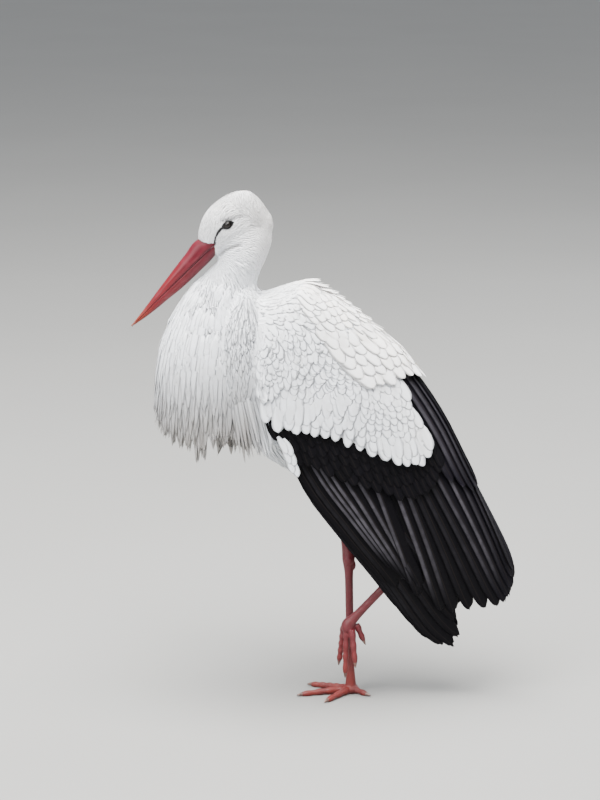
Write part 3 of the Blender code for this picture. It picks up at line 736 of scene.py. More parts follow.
def soft_feathers(name, wanted, gap, length, width, deep, lift, rng, turn, vane=SOFT_VANE, columns=3,
                  ragged=0.10, camber=0.16, surface=body, lie=lie_of_coat):
    """Body feathers over the wanted faces. Length and width are numbers or functions of the roots."""
    roots = scatter(surface, wanted, gap, rng)
    length, width = (size(roots) if callable(size) else size for size in (length, width))

    def vary(low, high):
        return rng.uniform(low, high, len(roots))

    lengths = length * vary(0.85, 1.15)
    lines, ups = comb(surface, roots, lengths, vane[0], rng.normal(0, turn, len(roots)),
                      deep * vary(0.8, 1.1), lift * vary(-0.3, 1.0), lie)
    made = lay_vanes(name, lines, ups, width * vary(0.85, 1.15), vane, None, unrolled(roots), rng,
                     columns, camber, ragged)
    return dress(made, *WHITE)


rng = np.random.default_rng(11)
from_face = reach_from_face(body.middles)
fx, fy, fz = body.middles.T
# The bill's base line: feathers start behind it, furthest back at the corner of the mouth.
bill_way, bill_up = along_bill(body.middles)
ridge, keel, half = profile(BILL_SHAPE, bill_way).T
over_seam = (bill_up - BILL_SEAM) / (np.where(bill_up > BILL_SEAM, ridge, keel) - BILL_SEAM)
bill_side = np.sqrt(np.clip(1 - np.clip(over_seam, 0, 1) ** 2.5, 0, 1)) * half
behind_bill = (bill_way < -23) | (np.abs(fy) > bill_side + 0.2) | (bill_up < keel - 0.5)
behind_bill &= before_horn(body.middles) < -1.2
fray = np.random.default_rng(5).random(len(fx))
on_head = (fz > 735) & (from_face < 118) | (fz > 690) & (from_face < 66 - 26 * fray)
bare_free = behind_bill & ((off_eye(body.middles, 1.5) > 9.0) | (np.abs(fy) < 12))
soft_feathers("face_feathers", on_head & bare_free & (from_face < 60), 1.45,
              lambda r: 4.5 + 6.0 * soft_step(reach_from_face(r), 15, 62),
              lambda r: 1.7 + 0.7 * soft_step(reach_from_face(r), 15, 62),
              0.8, 0.12, rng, turn=0.05, camber=0.10)
soft_feathers("crown_feathers", on_head & bare_free & (from_face >= 57), 2.05,
              lambda r: 11.5 + 6.5 * soft_step(reach_from_face(r), 62, 118),
              lambda r: 2.2 + 0.9 * soft_step(reach_from_face(r), 62, 118),
              0.9, 0.30, rng, turn=0.06, camber=0.08)
on_neck = (fz > 600 + 95 * rng.random(len(fz))) & ~on_head & (fz < 790) & behind_bill & (fx < -141)
soft_feathers("neck_feathers", on_neck, 3.4,
              lambda r: 24 + 24 * soft_step(735 - r[:, 2], 0, 110),
              lambda r: 4.4 + 4.2 * soft_step(735 - r[:, 2], 0, 90),
              0.9, 0.08, rng, turn=0.05, camber=0.03)

# ---------------------------------------------------------------------------------------------
# Breast plumes: long, narrow feathers that hang from the neck over the chest and end free, in
# pointed locks. They are laid round the chest from the throat down to the hem.
PLUME_VANE = ([0.0, 0.15, 0.32, 0.5, 0.66, 0.8, 0.92, 1.0], [0.4, 0.8, 1.0, 0.98, 0.84, 0.60, 0.34, 0.05])
PLUME_PITCH = 6.6
FRONT_STEPS = (486, 512, 560, 606, 648)  # heights where the tips in front meet, lock over lock


def on_chest(turn, z, grow, hang):
    """Points round the throat and chest at a height, and their outward normals. Below hang they drop free."""
    front, back, half = profile(THROAT, np.maximum(z, hang)).T
    middle, reach = (front + back) / 2, (back - front) / 2
    point = np.stack([middle - (reach + grow) * np.cos(turn), (half + grow) * np.sin(turn), z], 1)
    out = np.stack([-half * np.cos(turn), reach * np.sin(turn), np.zeros_like(z)], 1)
    return point, unit(out)


rng = np.random.default_rng(23)
plume_roots = []
for height in np.arange(692, 468, -9.0):
    front, back, half = profile(THROAT, height)[0]
    round_about = math.pi * (half + (back - front) / 2)
    for j in range(int(round_about / PLUME_PITCH)):
        turn = (j + 0.5 * (int(height) % 2)) * PLUME_PITCH / round_about * 2 * math.pi
        plume_roots.append((turn + rng.normal(0, 0.02), height + rng.uniform(-5, 5)))
turns, heights = np.array([root for root in plume_roots if math.cos(root[0]) > -0.95]).T
count = len(turns)
# The hem: highest in front, where the plumes end one after another, and lowest behind the middle.
around = np.abs((turns + np.pi) % (2 * np.pi) - np.pi)
comb_turn = 34 * around + 1.2 * np.sin(5 * around) + 0.8
hem = np.interp(around, *LOCK_TIPS.T) + 6 - 8 * np.sin(comb_turn)
lengths = (52 + 46 * soft_step(690 - heights, 0, 130)) * rng.uniform(0.8, 1.2, count)
lengths = np.where(heights - lengths < hem + 26, heights - hem + rng.uniform(-7, 10, count), lengths)
lengths = np.maximum(lengths, 24)
for step in FRONT_STEPS:
    meets = (around < 0.34) & (np.abs(heights - lengths - step) < 24) & (heights - step > 30)
    lengths = np.where(meets, heights - step + rng.uniform(-3, 4, count), lengths)
hang = heights - lengths + rng.uniform(20, 60, count)
clump = 0.030 * np.cos(comb_turn) * np.sign(np.sin(turns))
deep = rng.uniform(1.0, 2.4, count)
spring = rng.uniform(-0.5, 0.8, count) + (3.2 + 2.2 * rng.random(count)) * (1 - soft_step(around, 0.12, 0.7))
sway = rng.normal(0, 0.010, count)
rows_along = []
for row in PLUME_VANE[0]:
    z = heights - lengths * row
    turn = turns + (clump * soft_step(520 - z, 0, 90) + sway) * row
    rows_along.append(on_chest(turn, z, -deep * (1 - row) ** 1.2 + 0.6 + spring * row**2, hang))
lines, ups = (np.stack(part, 1) for part in zip(*rows_along))
widths = (12.5 - 5.5 * soft_step(560 - heights, 0, 60)) * rng.uniform(0.85, 1.15, count)
for side_name, side in SIDES:
    here = np.sin(turns) * side >= 0
    plumes = lay_vanes(f"breast_plumes_{side_name}", lines[here], ups[here], widths[here], PLUME_VANE,
                       None, unrolled(lines[here, 0]), rng, 5, 0.05, 0.02)
    dress(plumes, *WHITE)

# ---------------------------------------------------------------------------------------------
# Belly, flank and thigh feathers: broader and looser, pointing back and down. Those of the thigh
# end as a short ragged trouser over the bare shank.
rng = np.random.default_rng(31)
facing_up = body.normals[:, 2]
front_limit = np.where(fz < 474, np.where(facing_up < -0.15, -176, -140), -190)
low_trunk = (fx > front_limit) & (facing_up < 0.55) & (fz < 500) & (fz > 330)
soft_feathers("belly_feathers", low_trunk, 6.5, 38, 8.5, 2.2, 0.3, rng, turn=0.08, columns=4, ragged=0.06,
              vane=(SOFT_VANE[0], [0.5, 0.95, 0.95, 0.55, 0.12]))
soft_feathers("thigh_feathers", (fx > -60) & (fx < 110) & (fz < 395), 5.0, 21, 7.0, 1.8, 0.3, rng,
              turn=0.10, columns=4)

# ---------------------------------------------------------------------------------------------
# Mantle and shoulder feathers: small, soft and close, they run from the neck and the breast over the
# bend of each wing, so that body and wing meet without a step.
SHOULDER, WING_TILT = (-150.0, 600.0), math.radians(51.7)
# Along the wing: height of the back's ridge and of the lower edge over the wing's axis, offset at
# the ridge, half width.
SHELL = [
    (-55, 44, 36, 0.7, 48), (-32, 112, 25, 0.7, 74), (0, 134, 0, 0.7, 95), (50, 151, -40, 0.7, 109),
    (100, 163, -62, 0.7, 115), (150, 173, -70, 0.7, 118), (200, 174, -83, 0.7, 118), (250, 171, -89, 1, 117),
    (300, 164, -89, 1.5, 114), (350, 153, -89, 2.5, 109), (400, 142, -89, 3, 98), (450, 131, -91, 4, 86),
    (500, 119, -95, 5, 71), (550, 105, -96, 6, 56), (590, 92, -88, 7, 46), (600, 88, -86, 7, 44),
]


def shell_point(along, around, depth, side):
    """Points on the folded wing: way along it, degrees round from the ridge of the back, depth under it."""
    ridge, edge, offset, half = profile(SHELL, along).T
    turn = np.radians(around)
    up = (ridge - depth) + (edge - ridge + depth) * (1 - np.cos(turn))
    aside = offset + (half - depth - offset) * np.sin(turn)
    x = SHOULDER[0] + math.cos(WING_TILT) * along + math.sin(WING_TILT) * up
    z = SHOULDER[1] - math.sin(WING_TILT) * along + math.cos(WING_TILT) * up
    return np.stack([x, side * aside, z], -1)


def on_shell(along, around, depth, side):
    """Points on the folded wing and their outward normals, for arrays of any one shape."""
    shape = (*along.shape, 3)
    along, around, depth = along.ravel(), around.ravel(), depth.ravel()
    ahead = shell_point(along + 2, around, depth, side) - shell_point(along - 2, around, depth, side)
    down = shell_point(along, around + 1, depth, side) - shell_point(along, around - 1, depth, side)
    out = unit(np.cross(ahead, down)) * side
    return shell_point(along, around, depth, side).reshape(shape), out.reshape(shape)


shell_rings = []
for along in (-55, -48, -40, -32, -20, 0, 25, 50, 75, 100, 125, 150, 175, 200):
    around = np.linspace(0, 90, 16)
    left, right = (shell_point(np.full(16, float(along)), around, 1.6, side) for side in (-1, 1))
    shell_rings.append(np.vstack([left[1:], right[:0:-1]]))
shoulder_form = cast_over("shoulder_form", [*flesh_solids(), loft(shell_rings)], 4.0, 12)
points, faces = mesh_parts(shoulder_form.data)
shoulder = survey(points, read(shoulder_form.data, "vertices", "normal"), faces)
bpy.data.objects.remove(shoulder_form)


def lie_of_mantle(p):
    """The way the mantle's feathers point: back over the shoulder, and down its side."""
    back = float(soft_step(p.z, 590, 680))
    return Vector((0.12, 0, -1)) * (1 - back) + Vector((1, 0, -0.35)) * back


rng = np.random.default_rng(37)
sx, _, sz = shoulder.middles.T
from_bend = (sx - SHOULDER[0]) * 0.62 - (sz - SHOULDER[1]) * 0.785  # way along the wing
over_bend = (from_bend < 30 + 25 * rng.random(len(sx))) & (sz > 560)
over_wing = over_bend | (sx < -126 + 18 * rng.random(len(sx)))
over_wing &= (sx > np.where(sz > 650, -164, -216 + 26 * rng.random(len(sx)))) & (sz > 474) & (sz < 712)
over_wing &= (np.abs(shoulder.normals[:, 1]) > 0.25) | (shoulder.normals[:, 2] > 0.2)
over_wing &= (from_bend < 46) | (sx < -152)
soft_feathers("shoulder_plumes", over_wing & (sx < -150) & (sz < 668), 5.8, 58.0, 12.5, 1.0, 0.0, rng,
              turn=0.03, vane=PLUME_VANE, columns=5, ragged=0.02, camber=0.04, surface=shoulder,
              lie=lambda p: Vector((0.04, 0, -1)))
soft_feathers("mantle_feathers", over_wing & ((sx > -156) | (sz > 655)), 6.4,
              lambda r: 36 + 8 * soft_step(r[:, 2], 600, 680),
              lambda r: 13.0 + 3 * soft_step(r[:, 2], 600, 680),
              1.1, 0.0, rng, turn=0.06, vane=(SOFT_VANE[0], [0.45, 0.95, 1.0, 0.78, 0.28]), columns=5,
              ragged=0.03, camber=0.04, surface=shoulder, lie=lie_of_mantle)

# Longer flank plumes hang free below the shoulder, beside those of the breast.
flank = (sx > -194) & (sx < -149) & (sz > 470) & (sz < 540) & (np.abs(shoulder.normals[:, 1]) > 0.5)
roots = scatter(shoulder, flank, 5.2, rng)
count = len(roots)
normals = shoulder.normals[[shoulder.tree.find_nearest(Vector(root))[2] for root in roots]]
share = np.array(PLUME_VANE[0])
ends = 432 + rng.uniform(-8, 10, count) + 10 * np.sin(roots[:, 0] / 4.0)
lengths = np.clip(roots[:, 2] - ends, 20, 95)
back, aside = 0.22 + 0.06 * rng.normal(0, 1, count), 0.02 * rng.normal(0, 1, count)
way = np.stack([back, aside, np.full(count, -1.0)], 1)
lines = roots[:, None] + (way * lengths[:, None])[:, None] * share[:, None]
lines -= normals[:, None] * (3.0 * (1 - share) ** 1.2 + 0.5)[None, :, None]
flank_plumes = lay_vanes("flank_plumes", lines, np.repeat(normals[:, None], len(share), 1),
                         rng.uniform(6, 8.5, count), PLUME_VANE, None, unrolled(roots), rng, 5, 0.06, 0.02)
dress(flank_plumes, *WHITE)

# ---------------------------------------------------------------------------------------------
# Folded wings: white scapulars and coverts in overlapping rows over the shoulder and back, and the
# black flight feathers under them, each a long vane with a shaft and a frosted outer edge.
COVERT_VANE = ([0.0, 0.3, 0.56, 0.76, 0.88, 0.96, 1.0], [0.35, 0.85, 1.0, 0.97, 0.84, 0.56, 0.22])
# Edge of the white: at each place round the wing, how far along it reaches.
SCAPULAR_EDGE = np.array([(0, 214), (8, 208), (14, 201), (20, 193), (29, 186), (33, 182), (44, 160)], float)
COVERT_EDGE = np.array([(30, 200), (31.5, 222), (34, 300), (38, 312), (44, 315), (50, 300), (56, 280),
                        (64.5, 220), (70, 188), (76.5, 159), (82, 138), (87, 120), (90, 96)], float)
COVERT_SLANTS = ([0, 30, 40, 48, 56, 64, 75, 90], [0, 2, 6, 14, 24, 33, 38, 38])
# Greater coverts and alula: tips in rows behind this edge.
GREATER_EDGE = np.array([(34, 338), (40, 352), (47, 356), (54, 350), (60, 336), (66, 305), (72, 272),
                         (77, 238), (81, 205), (85, 190), (90, 176)], float)
BLACK_EDGE = np.array([(0, 500), (30, 520), (50, 500), (70, 470), (90, 420)], float)
RUFFLED_TIPS = [(-14, 3), (-6, 7), (2, 3), (10, 6), (20, 3), (34, 4), (48, 3), (66, 4), (88, 3), (112, 4)]
RUFFLED_LIFT = [9, 6, 8, 5, 6, 5, 4, 4, 3.5, 3]
TUFT_TIPS = [(197, 88.2), (188, 89.2), (180, 87.6), (172, 89.0), (164, 87.2), (156, 88.6)]

black_plume, tree, shader = finish_tree(
    "black_plumage", (0.018, 0.016, 0.020), 0.46, Sheen_Weight=0.004, Specular_IOR_Level=0.07,
    Sheen_Roughness=0.45, Sheen_Tint=(0.80, 0.76, 1.0))
_, frost, painted_sheen, _ = carried(tree, "mark")
vane, across, along, chance = carried(tree, "vane")
# The pale outer edge of a frosted feather.
band = frost
for share in (
    spread(tree, across, -0.98, -0.86),
    spread(tree, across, -0.62, -0.30, 1.0, 0.0),
    spread(tree, along, 0.70, 0.97, 1.0, 0.0),
    spread(tree, mottle(tree, 60.0), 0.3, 0.7, 0.6, 1.0),
):
    band = reckon(tree, "MULTIPLY", band, share)
off_shaft = reckon(tree, "ABSOLUTE", reckon(tree, "ADD", across, 0.3))
paint(
    tree, shader, (0.0011, 0.0010, 0.0015),
    # Painted sheen: a purple-grey gloss laid into the colour, strongest on the tertials.
    (painted_sheen, (0.0065, 0.0056, 0.0088)),
    (spread(tree, chance, 0, 1, 0, 0.4), (0.0028, 0.0024, 0.0036)),
    (band, (0.060, 0.056, 0.066)),
    (spread(tree, off_shaft, 0.02, 0.07, 0.7, 0.0), (0.013, 0.010, 0.009)),
)
feed(tree, shader.inputs["Roughness"], spread(tree, mottle(tree, 140.0), 0.3, 0.7, 0.40, 0.58))
barbs(tree, shader, vane, 16.0, 0.6, 0.30, 0.0004)
BLACK = (black_plume, "plumage_black")


def arc_speed(around):
    """Millimetres round the shell for each degree."""
    turn = np.radians(around)
    return np.hypot(245 * np.sin(turn), 115 * np.cos(turn)) * math.pi / 180


def shell_unrolled(along, around, side):
    """Places on the folded wing unrolled, 0 to 1 both ways."""
    return np.stack([0.02 + 0.95 * (along + 60) / 670, 0.5 + side * (0.02 + 0.45 * around / 95)], 1)


def tract(name, side, tips, slants, lengths, widths, depth, drop, rng, marks, dressing, columns=5,
          camber=0.14, ragged=0.08, shaft=0.0, shingle=0.0, lift=0.0, hills=0.0):
    """Feathers given by their tips on the shell, the slant of each from the wing's axis, and size."""
    tip_along, tip_round = np.array(tips, float).T
    slant, lengths, widths = (np.broadcast_to(v, len(tips)) for v in (np.radians(slants), lengths, widths))
    share = np.array(COVERT_VANE[0])
    back = lengths[:, None] * (1 - share)
    along = np.clip(tip_along[:, None] - back * np.cos(slant)[:, None], -53.5, 598)
    turn_back = back * np.sin(slant)[:, None] / arc_speed(np.clip(tip_round, 12, 90))[:, None]
    around = tip_round[:, None] - turn_back
    swell = np.sin(tip_along / 17 + tip_round / 9) + 0.8 * np.sin(tip_round / 5 - tip_along / 23)
    deep = (depth + hills * swell)[:, None] + drop * (1 - share) ** 1.2
    deep = deep - np.asarray(lift).reshape(-1, 1) * share**2.5
    lines, ups = on_shell(along, np.clip(around, -6, 91), deep, side)
    made = lay_vanes(name, lines, ups, widths, COVERT_VANE, marks,
                     shell_unrolled(along[:, 0], around[:, 0], side), rng, columns, camber, ragged,
                     shaft, shingle, -side)
    return dress(made, *dressing)


def rows_of_tips(edge, spacing, pitch, rng, lanes, jitter=1.6, shy=-40):
    """Tips in rows behind a tract's edge, each row's feathers set between those of the next."""
    tips, ranks = [], []
    back = 0.0
    for rank, (gap, wide) in enumerate(zip(spacing, pitch)):
        around = lanes[0] + (0.5 if rank % 2 else 0.0) * wide / 3.2
        while around <= lanes[1]:
            tip = np.interp(around, *edge.T) - back
            if tip > shy:
                tips.append((tip + rng.normal(0, jitter), around + rng.normal(0, jitter * 0.25)))
                ranks.append(rank)
            around += wide / arc_speed(max(around, 8))
        back += gap
    return np.array(tips), np.array(ranks)


def wing_bed(name, side, depths, start, edge, last_lane, dressing):
    """A thin bed of down under the feathers, which closes the gaps between their roots."""
    around = np.linspace(0, last_lane, 46)
    along = start + (edge(around) - start) * np.linspace(0, 1, 40)[:, None]
    arounds = np.broadcast_to(around, along.shape)
    layers = [on_shell(along, arounds, np.full(along.shape, depth), side)[0] for depth in depths]
    grid = np.arange(along.size).reshape(along.shape)
    top = np.stack([grid[:-1, :-1], grid[:-1, 1:], grid[1:, 1:], grid[1:, :-1]], -1).reshape(-1, 4)
    rim = np.concatenate([grid[0, :-1], grid[:-1, -1], grid[-1, :0:-1], grid[:0:-1, 0]])
    walls = np.stack([np.roll(rim, -1), rim, rim + along.size, np.roll(rim, -1) + along.size], -1)
    faces = np.vstack([top, top[:, ::-1] + along.size, walls])[:, ::side]
    made = new_object(name, np.reshape(layers, (-1, 3)), faces.tolist())
    carry(made, vane=(0.5, 0.6, 0.5), mark=(0, 0, 0))
    dress(made, *dressing)


for side_name, side in SIDES:
    rng = np.random.default_rng(41 + side)
    spacing = [15, 15, 14, 13, 12, 11, 10.5, 10, 10, 9.5, 9.5, *[9] * 4, *[8.5] * 3, *[8] * 10]
    pitch = [12, 12, 11.5, 11, *[10] * 5, *[9] * 19]
    tips, ranks = rows_of_tips(COVERT_EDGE, spacing, pitch, rng, (31.5, 90))
    count, fade = len(tips), soft_step(ranks, 0, 8)
    lengths = (52 - 25 * fade) * rng.uniform(0.9, 1.1, count)
    widths = (19.5 - 5.5 * fade) * rng.uniform(0.9, 1.15, count)
    # The upper coverts a little warmer: partly cream plumage, partly painted warm light from above.
    marks = np.stack([0.22 * soft_step(55 - tips[:, 1], 0, 20), np.zeros(count), 0.10 * rng.random(count)], 1)
    slants = np.interp(tips[:, 1], *COVERT_SLANTS) + rng.normal(0, 5, count)
    tract(f"white_coverts_{side_name}", side, tips, slants, lengths, widths,
          rng.uniform(2.7, 3.0, count), 2.1, rng, marks, (*WHITE, f"wing_{side_name}_coverts"),
          camber=0.04, ragged=0.03,
          lift=rng.uniform(-0.55, -0.1, count) + 0.5 * (ranks < 2), hills=0.6)

    spacing = [22, 21, 20, 19, 18, 17, 16, 15, 14, 13, 12, 12, 11, 11, 10, 10, 10]
    tips, ranks = rows_of_tips(SCAPULAR_EDGE, spacing, [17] * 7 + [14] * 10, rng, (2, 46), 2.2, 0)
    count, fade = len(tips), soft_step(ranks, 0, 9)
    lengths = (70 - 30 * fade) * rng.uniform(0.9, 1.1, count)
    widths = (25 - 8 * fade) * rng.uniform(0.9, 1.15, count)
    marks = np.zeros((count, 3))
    # Cream scapulars, warmest towards the ridge: partly their own tint, partly painted warm light on the
    # back.
    marks[:, 0] = 0.55 + 0.4 * rng.random(count) * (tips[:, 1] < 30)
    tract(f"scapulars_{side_name}", side, tips, rng.normal(0, 5, count), lengths, widths,
          rng.uniform(0.5, 0.8, count), 2.6, rng, marks, (*WHITE, f"wing_{side_name}_scapulars"),
          camber=0.05, ragged=0.04, lift=rng.uniform(-0.6, -0.1, count) + 0.6 * (ranks < 1), hills=0.4)

    # Ruffled tips that stand off the ridge of the back, and the white tuft on the wing's front edge.
    # The ruffled tips' warm tint is partly cream, partly painted warm light on the ridge.
    count = len(RUFFLED_TIPS)
    tract(f"ruffled_tips_{side_name}", side, RUFFLED_TIPS, rng.normal(-2, 4, count),
          rng.uniform(30, 36, count), rng.uniform(9, 12, count), 1.0, 2.0, rng, (0.7, 0, 0), WHITE,
          camber=0.08, lift=RUFFLED_LIFT)
    tract(f"wing_edge_tuft_{side_name}", side, TUFT_TIPS, 2.0, 30.0, 12.0, 6.0, 1.5, rng, (0.1, 0, 0.05),
          WHITE, camber=0.08)

for side_name, side in SIDES:
    wing_bed(f"white_wing_bed_{side_name}", side, (8.8, 10.2), -53, lambda r: np.where(
        r < 31, np.interp(r, *SCAPULAR_EDGE.T), np.interp(r, *COVERT_EDGE.T)) - 16, 90, WHITE)
    wing_bed(f"black_wing_bed_{side_name}", side, (18.6, 19.8), 110,
             lambda r: np.interp(r, *BLACK_EDGE.T), 89, BLACK)

FLIGHT_VANE = ([0.0, 0.1, 0.2, 0.3, 0.4, 0.5, 0.6, 0.7, 0.78, 0.85, 0.90, 0.94, 0.97, 0.99, 1.0],
               [0.5, 0.75, 0.9, 0.98, 1, 1, 1, 1, 1.0, 0.99, 0.96, 0.88, 0.74, 0.52, 0.26])
# Each feather: root and tip, each along and round the shell, full width, how frosted, how much painted sheen.
SECONDARIES = [
    (215, 3, 556, 9, 26, 0.15, 0.5), (220, 10, 567, 17, 26, 0.15, 0.5), (225, 18, 577, 25, 26, 0.30, 0.6),
    (230, 27.5, 587, 31.5, 26, 0.85, 0.5), (240, 36, 590, 37.5, 26, 0.55, 0.5),
    (240, 40.5, 586, 45, 27, 0.20, 0.3), (240, 44.5, 575, 53, 27, 0.15, 0.2),
    (240, 47, 562, 61, 27, 0.10, 0.2), (240, 49.5, 548, 69, 27, 0.60, 0.2),
    (240, 54, 532, 73.5, 26, 1.00, 0.2), (236, 61.5, 484, 78.2, 23, 0.80, 0.2),
    (196, 67.5, 474, 75.2, 23, 0.85, 0.2), (186, 72.2, 462, 77.5, 22, 0.85, 0.2),
    (176, 75.8, 448, 78.5, 22, 0.95, 0.2), (166, 79.0, 430, 80.0, 20, 0.85, 0.2),
    (156, 81.0, 416, 81.2, 20, 0.80, 0.2), (150, 84.0, 450, 84.5, 24, 0.10, 0.1),
    (145, 86.5, 430, 87.0, 24, 0.00, 0.1),
]
PRIMARIES = [
    (220, 70, 541, 64, 24, 0.1, 0.2), (210, 74, 561, 71, 24, 0.1, 0.2), (200, 77, 588, 77, 24, 0.1, 0.2),
    (190, 80, 597, 83, 24, 0.1, 0.2), (180, 83, 584, 87, 24, 0.1, 0.2), (170, 85, 560, 88, 22, 0.1, 0.2),
    (165, 87, 525, 89, 20, 0.1, 0.2), (155, 88, 482, 89.5, 18, 0.1, 0.2),
]
TERTIALS = [
    (130, 1, 408, 2, 34, 0.10, 0.8), (135, 8, 412, 10, 34, 0.20, 0.9), (140, 15, 406, 17, 34, 0.35, 0.9),
    (145, 22, 392, 24, 34, 0.45, 1.0), (150, 29, 368, 31, 34, 0.35, 1.0), (160, 35, 330, 37, 32, 0.20, 0.8),
]

for side_name, side in SIDES:
    rng = np.random.default_rng(61 + side)
    for group, feathers, depth, shingle in (
        ("tertials", TERTIALS, 8.2, 3.2),
        ("secondaries", SECONDARIES, 11.4, 3.2),
        ("primaries", PRIMARIES, 16.6, 3.0),
    ):
        # Long feathers from root to tip over the shell, each overlapping the next below it.
        share = np.array(FLIGHT_VANE[0])
        root_along, root_round, tip_along, tip_round, widths, frost, painted_sheen = np.array(feathers, float).T
        along = root_along[:, None] + (tip_along - root_along)[:, None] * share
        around = root_round[:, None] + (tip_round - root_round)[:, None] * share**1.15
        around = around + rng.normal(0, 0.25, (len(feathers), 1))
        deep = depth + 0.28 * np.arange(len(feathers))[:, None] + 1.2 * (1 - share)
        lines, ups = on_shell(along, around, deep, side)
        made = lay_vanes(f"{group}_{side_name}", lines, ups, widths, FLIGHT_VANE,
                         np.stack([frost, painted_sheen, 0 * painted_sheen], 1), shell_unrolled(root_along, root_round, side),
                         rng, 9, 0.05, 0.02, 0.3, shingle, -side)
        dress(made, *BLACK, f"wing_{side_name}_{group}")
    spacing, pitch = [24, 22, 20, 18, 16, 14], [11.5, 11, 11, 10, 10, 10]
    tips, _ = rows_of_tips(GREATER_EDGE, spacing, pitch, rng, (33, 90), 1.2)
    tips = tips[tips[:, 0] > np.interp(tips[:, 1], *COVERT_EDGE.T) - 14]
    count = len(tips)
    marks = np.zeros((count, 3))
    # A little painted sheen on each greater covert.
    marks[:, 1] = 0.05 + 0.2 * rng.random(count)
    slants = np.interp(tips[:, 1], [30, 45, 60, 75, 90], [2, 8, 12, 8, 2]) + rng.normal(0, 2, count)
    lengths = np.minimum(rng.uniform(56, 66, count), tips[:, 0] - 84 + 20 * (tips[:, 1] < 80))
    tract(f"greater_coverts_{side_name}", side, tips, slants, lengths, rng.uniform(18, 21, count), 9.0, 2.0,
          rng, marks, (*BLACK, f"wing_{side_name}_greater_coverts"), columns=7, camber=0.06, ragged=0.02,
          shaft=0.2, shingle=0.9, lift=0.1)

# ---------------------------------------------------------------------------------------------
# Tail: a closed fan of white feathers under the wings, roofed slightly. The middle feather lies on
# top, and each pair beyond it goes under the last.
TAIL_ROOT, TAIL_SLOPE, TAIL_LENGTH = (114.0, 382.0), math.radians(62), 212.0
TAIL_HALF, TAIL_FEATHERS = 27, 11

rng = np.random.default_rng(71)
lanes = np.linspace(-1, 1, TAIL_FEATHERS)
lanes = lanes[np.argsort(-np.abs(lanes))]
share = np.array(FLIGHT_VANE[0])
way = (TAIL_LENGTH - 8 * np.abs(lanes)[:, None] ** 2 + rng.normal(0, 1.5, (TAIL_FEATHERS, 1))) * share
aside = lanes[:, None] * (9 + 13 * share)
above = 2.5 - 9 * (aside / TAIL_HALF) ** 2 - 0.25 * np.arange(TAIL_FEATHERS)[::-1][:, None]
cos, sin = math.cos(TAIL_SLOPE), math.sin(TAIL_SLOPE)
lines = np.stack([TAIL_ROOT[0] + cos * way + sin * above, aside, TAIL_ROOT[1] - sin * way + cos * above], -1)
ups = unit(np.stack(np.broadcast_arrays(sin, 0.6 * aside / TAIL_HALF, cos), -1))
tail = lay_vanes("tail_feathers", lines, ups, np.full(TAIL_FEATHERS, 15.0), FLIGHT_VANE, (0.2, 0, 0.15),
                 np.stack([0.5 + 0.02 * lanes, np.full(TAIL_FEATHERS, 0.9)], 1), rng, 7, 0.08, 0.02)
dress(tail, *WHITE, "tail")

# ---------------------------------------------------------------------------------------------
# Legs and feet: bare red skin in small scales over bone and sinew, one hide for each leg from the
# thigh to the toes, with the knobbed heel, the swollen toe joints and the pads. Claws of brown horn.

# Standing toes: heading, length, joints. Raised toes: root from the palm, direction, length, joints.
STANDING_TOES = {"inner": (52, 48, 2), "middle": (14, 68, 3), "outer": (-26, 56, 4), "hind": (143, 17, 1)}
RAISED_TOES = {
    "inner": ((5.5, -8, -13.5), (0.10, -0.12, -1), 50, 2),
    "middle": ((-3.5, -1.5, -15), (-0.03, -0.02, -1), 69, 3),
    "outer": ((-8.5, 8.5, -12), (-0.12, 0.10, -1), 57, 4),
    "hind": ((14.5, 1.5, -6.5), (0.42, 0.02, -1), 25, 1),
}
RAISED_KNEE = np.array((94.0, -39, 314))
RAISED_HEEL = np.array((142.0, -36, 290))
RAISED_PALM = np.array((-4.0, -30, 129))
LEG_VOXEL = 1.0

red_leg, tree, shader = finish_tree(
    "red_leg_skin", (0.50, 0.10, 0.11), 0.5, Subsurface_Weight=0.08,
    Subsurface_Radius=(0.004, 0.001, 0.001), Subsurface_Scale=1.0)
place = add_node(tree, "TexCoord", {}).outputs["Object"]
squeeze = add_node(tree, "Mapping", {"Scale": (1.0, 1.0, 0.8), "Vector": place})
scales = add_node(tree, "TexVoronoi", {"Scale": 330.0, "Vector": squeeze.outputs[0]},
                  feature="DISTANCE_TO_EDGE")
scale_edge = scales.outputs["Distance"]
height = add_node(tree, "SeparateXYZ", {0: place}).outputs[2]
paint(
    tree, shader, (0.100, 0.0025, 0.010),
    # Lighter and more orange towards the floor: painted shade on the upper leg, under the body.
    (spread(tree, height, 0.02, 0.14, 1.0, 0.0), (0.15, 0.010, 0.006)),
    (spread(tree, mottle(tree, 45.0), 0.40, 0.70, 0.0, 0.6), (0.068, 0.002, 0.0045)),
    (spread(tree, mottle(tree, 90.0), 0.54, 0.80, 0.0, 0.35), (0.18, 0.04, 0.04)),
    (spread(tree, scale_edge, 0.0, 0.16, 0.40, 0.0), (0.13, 0.02, 0.02)),
)
emboss(tree, shader, spread(tree, scale_edge, 0.0, 0.22), 0.6, 0.0005)

claw_horn, tree, shader = finish_tree("claw_horn", (0.20, 0.11, 0.09), 0.4)
paint(tree, shader, (0.055, 0.030, 0.026),
      (spread(tree, mottle(tree, 260.0), 0.3, 0.7), (0.17, 0.095, 0.075)))
emboss(tree, shader, mottle(tree, 900.0), 0.4, 0.0003)


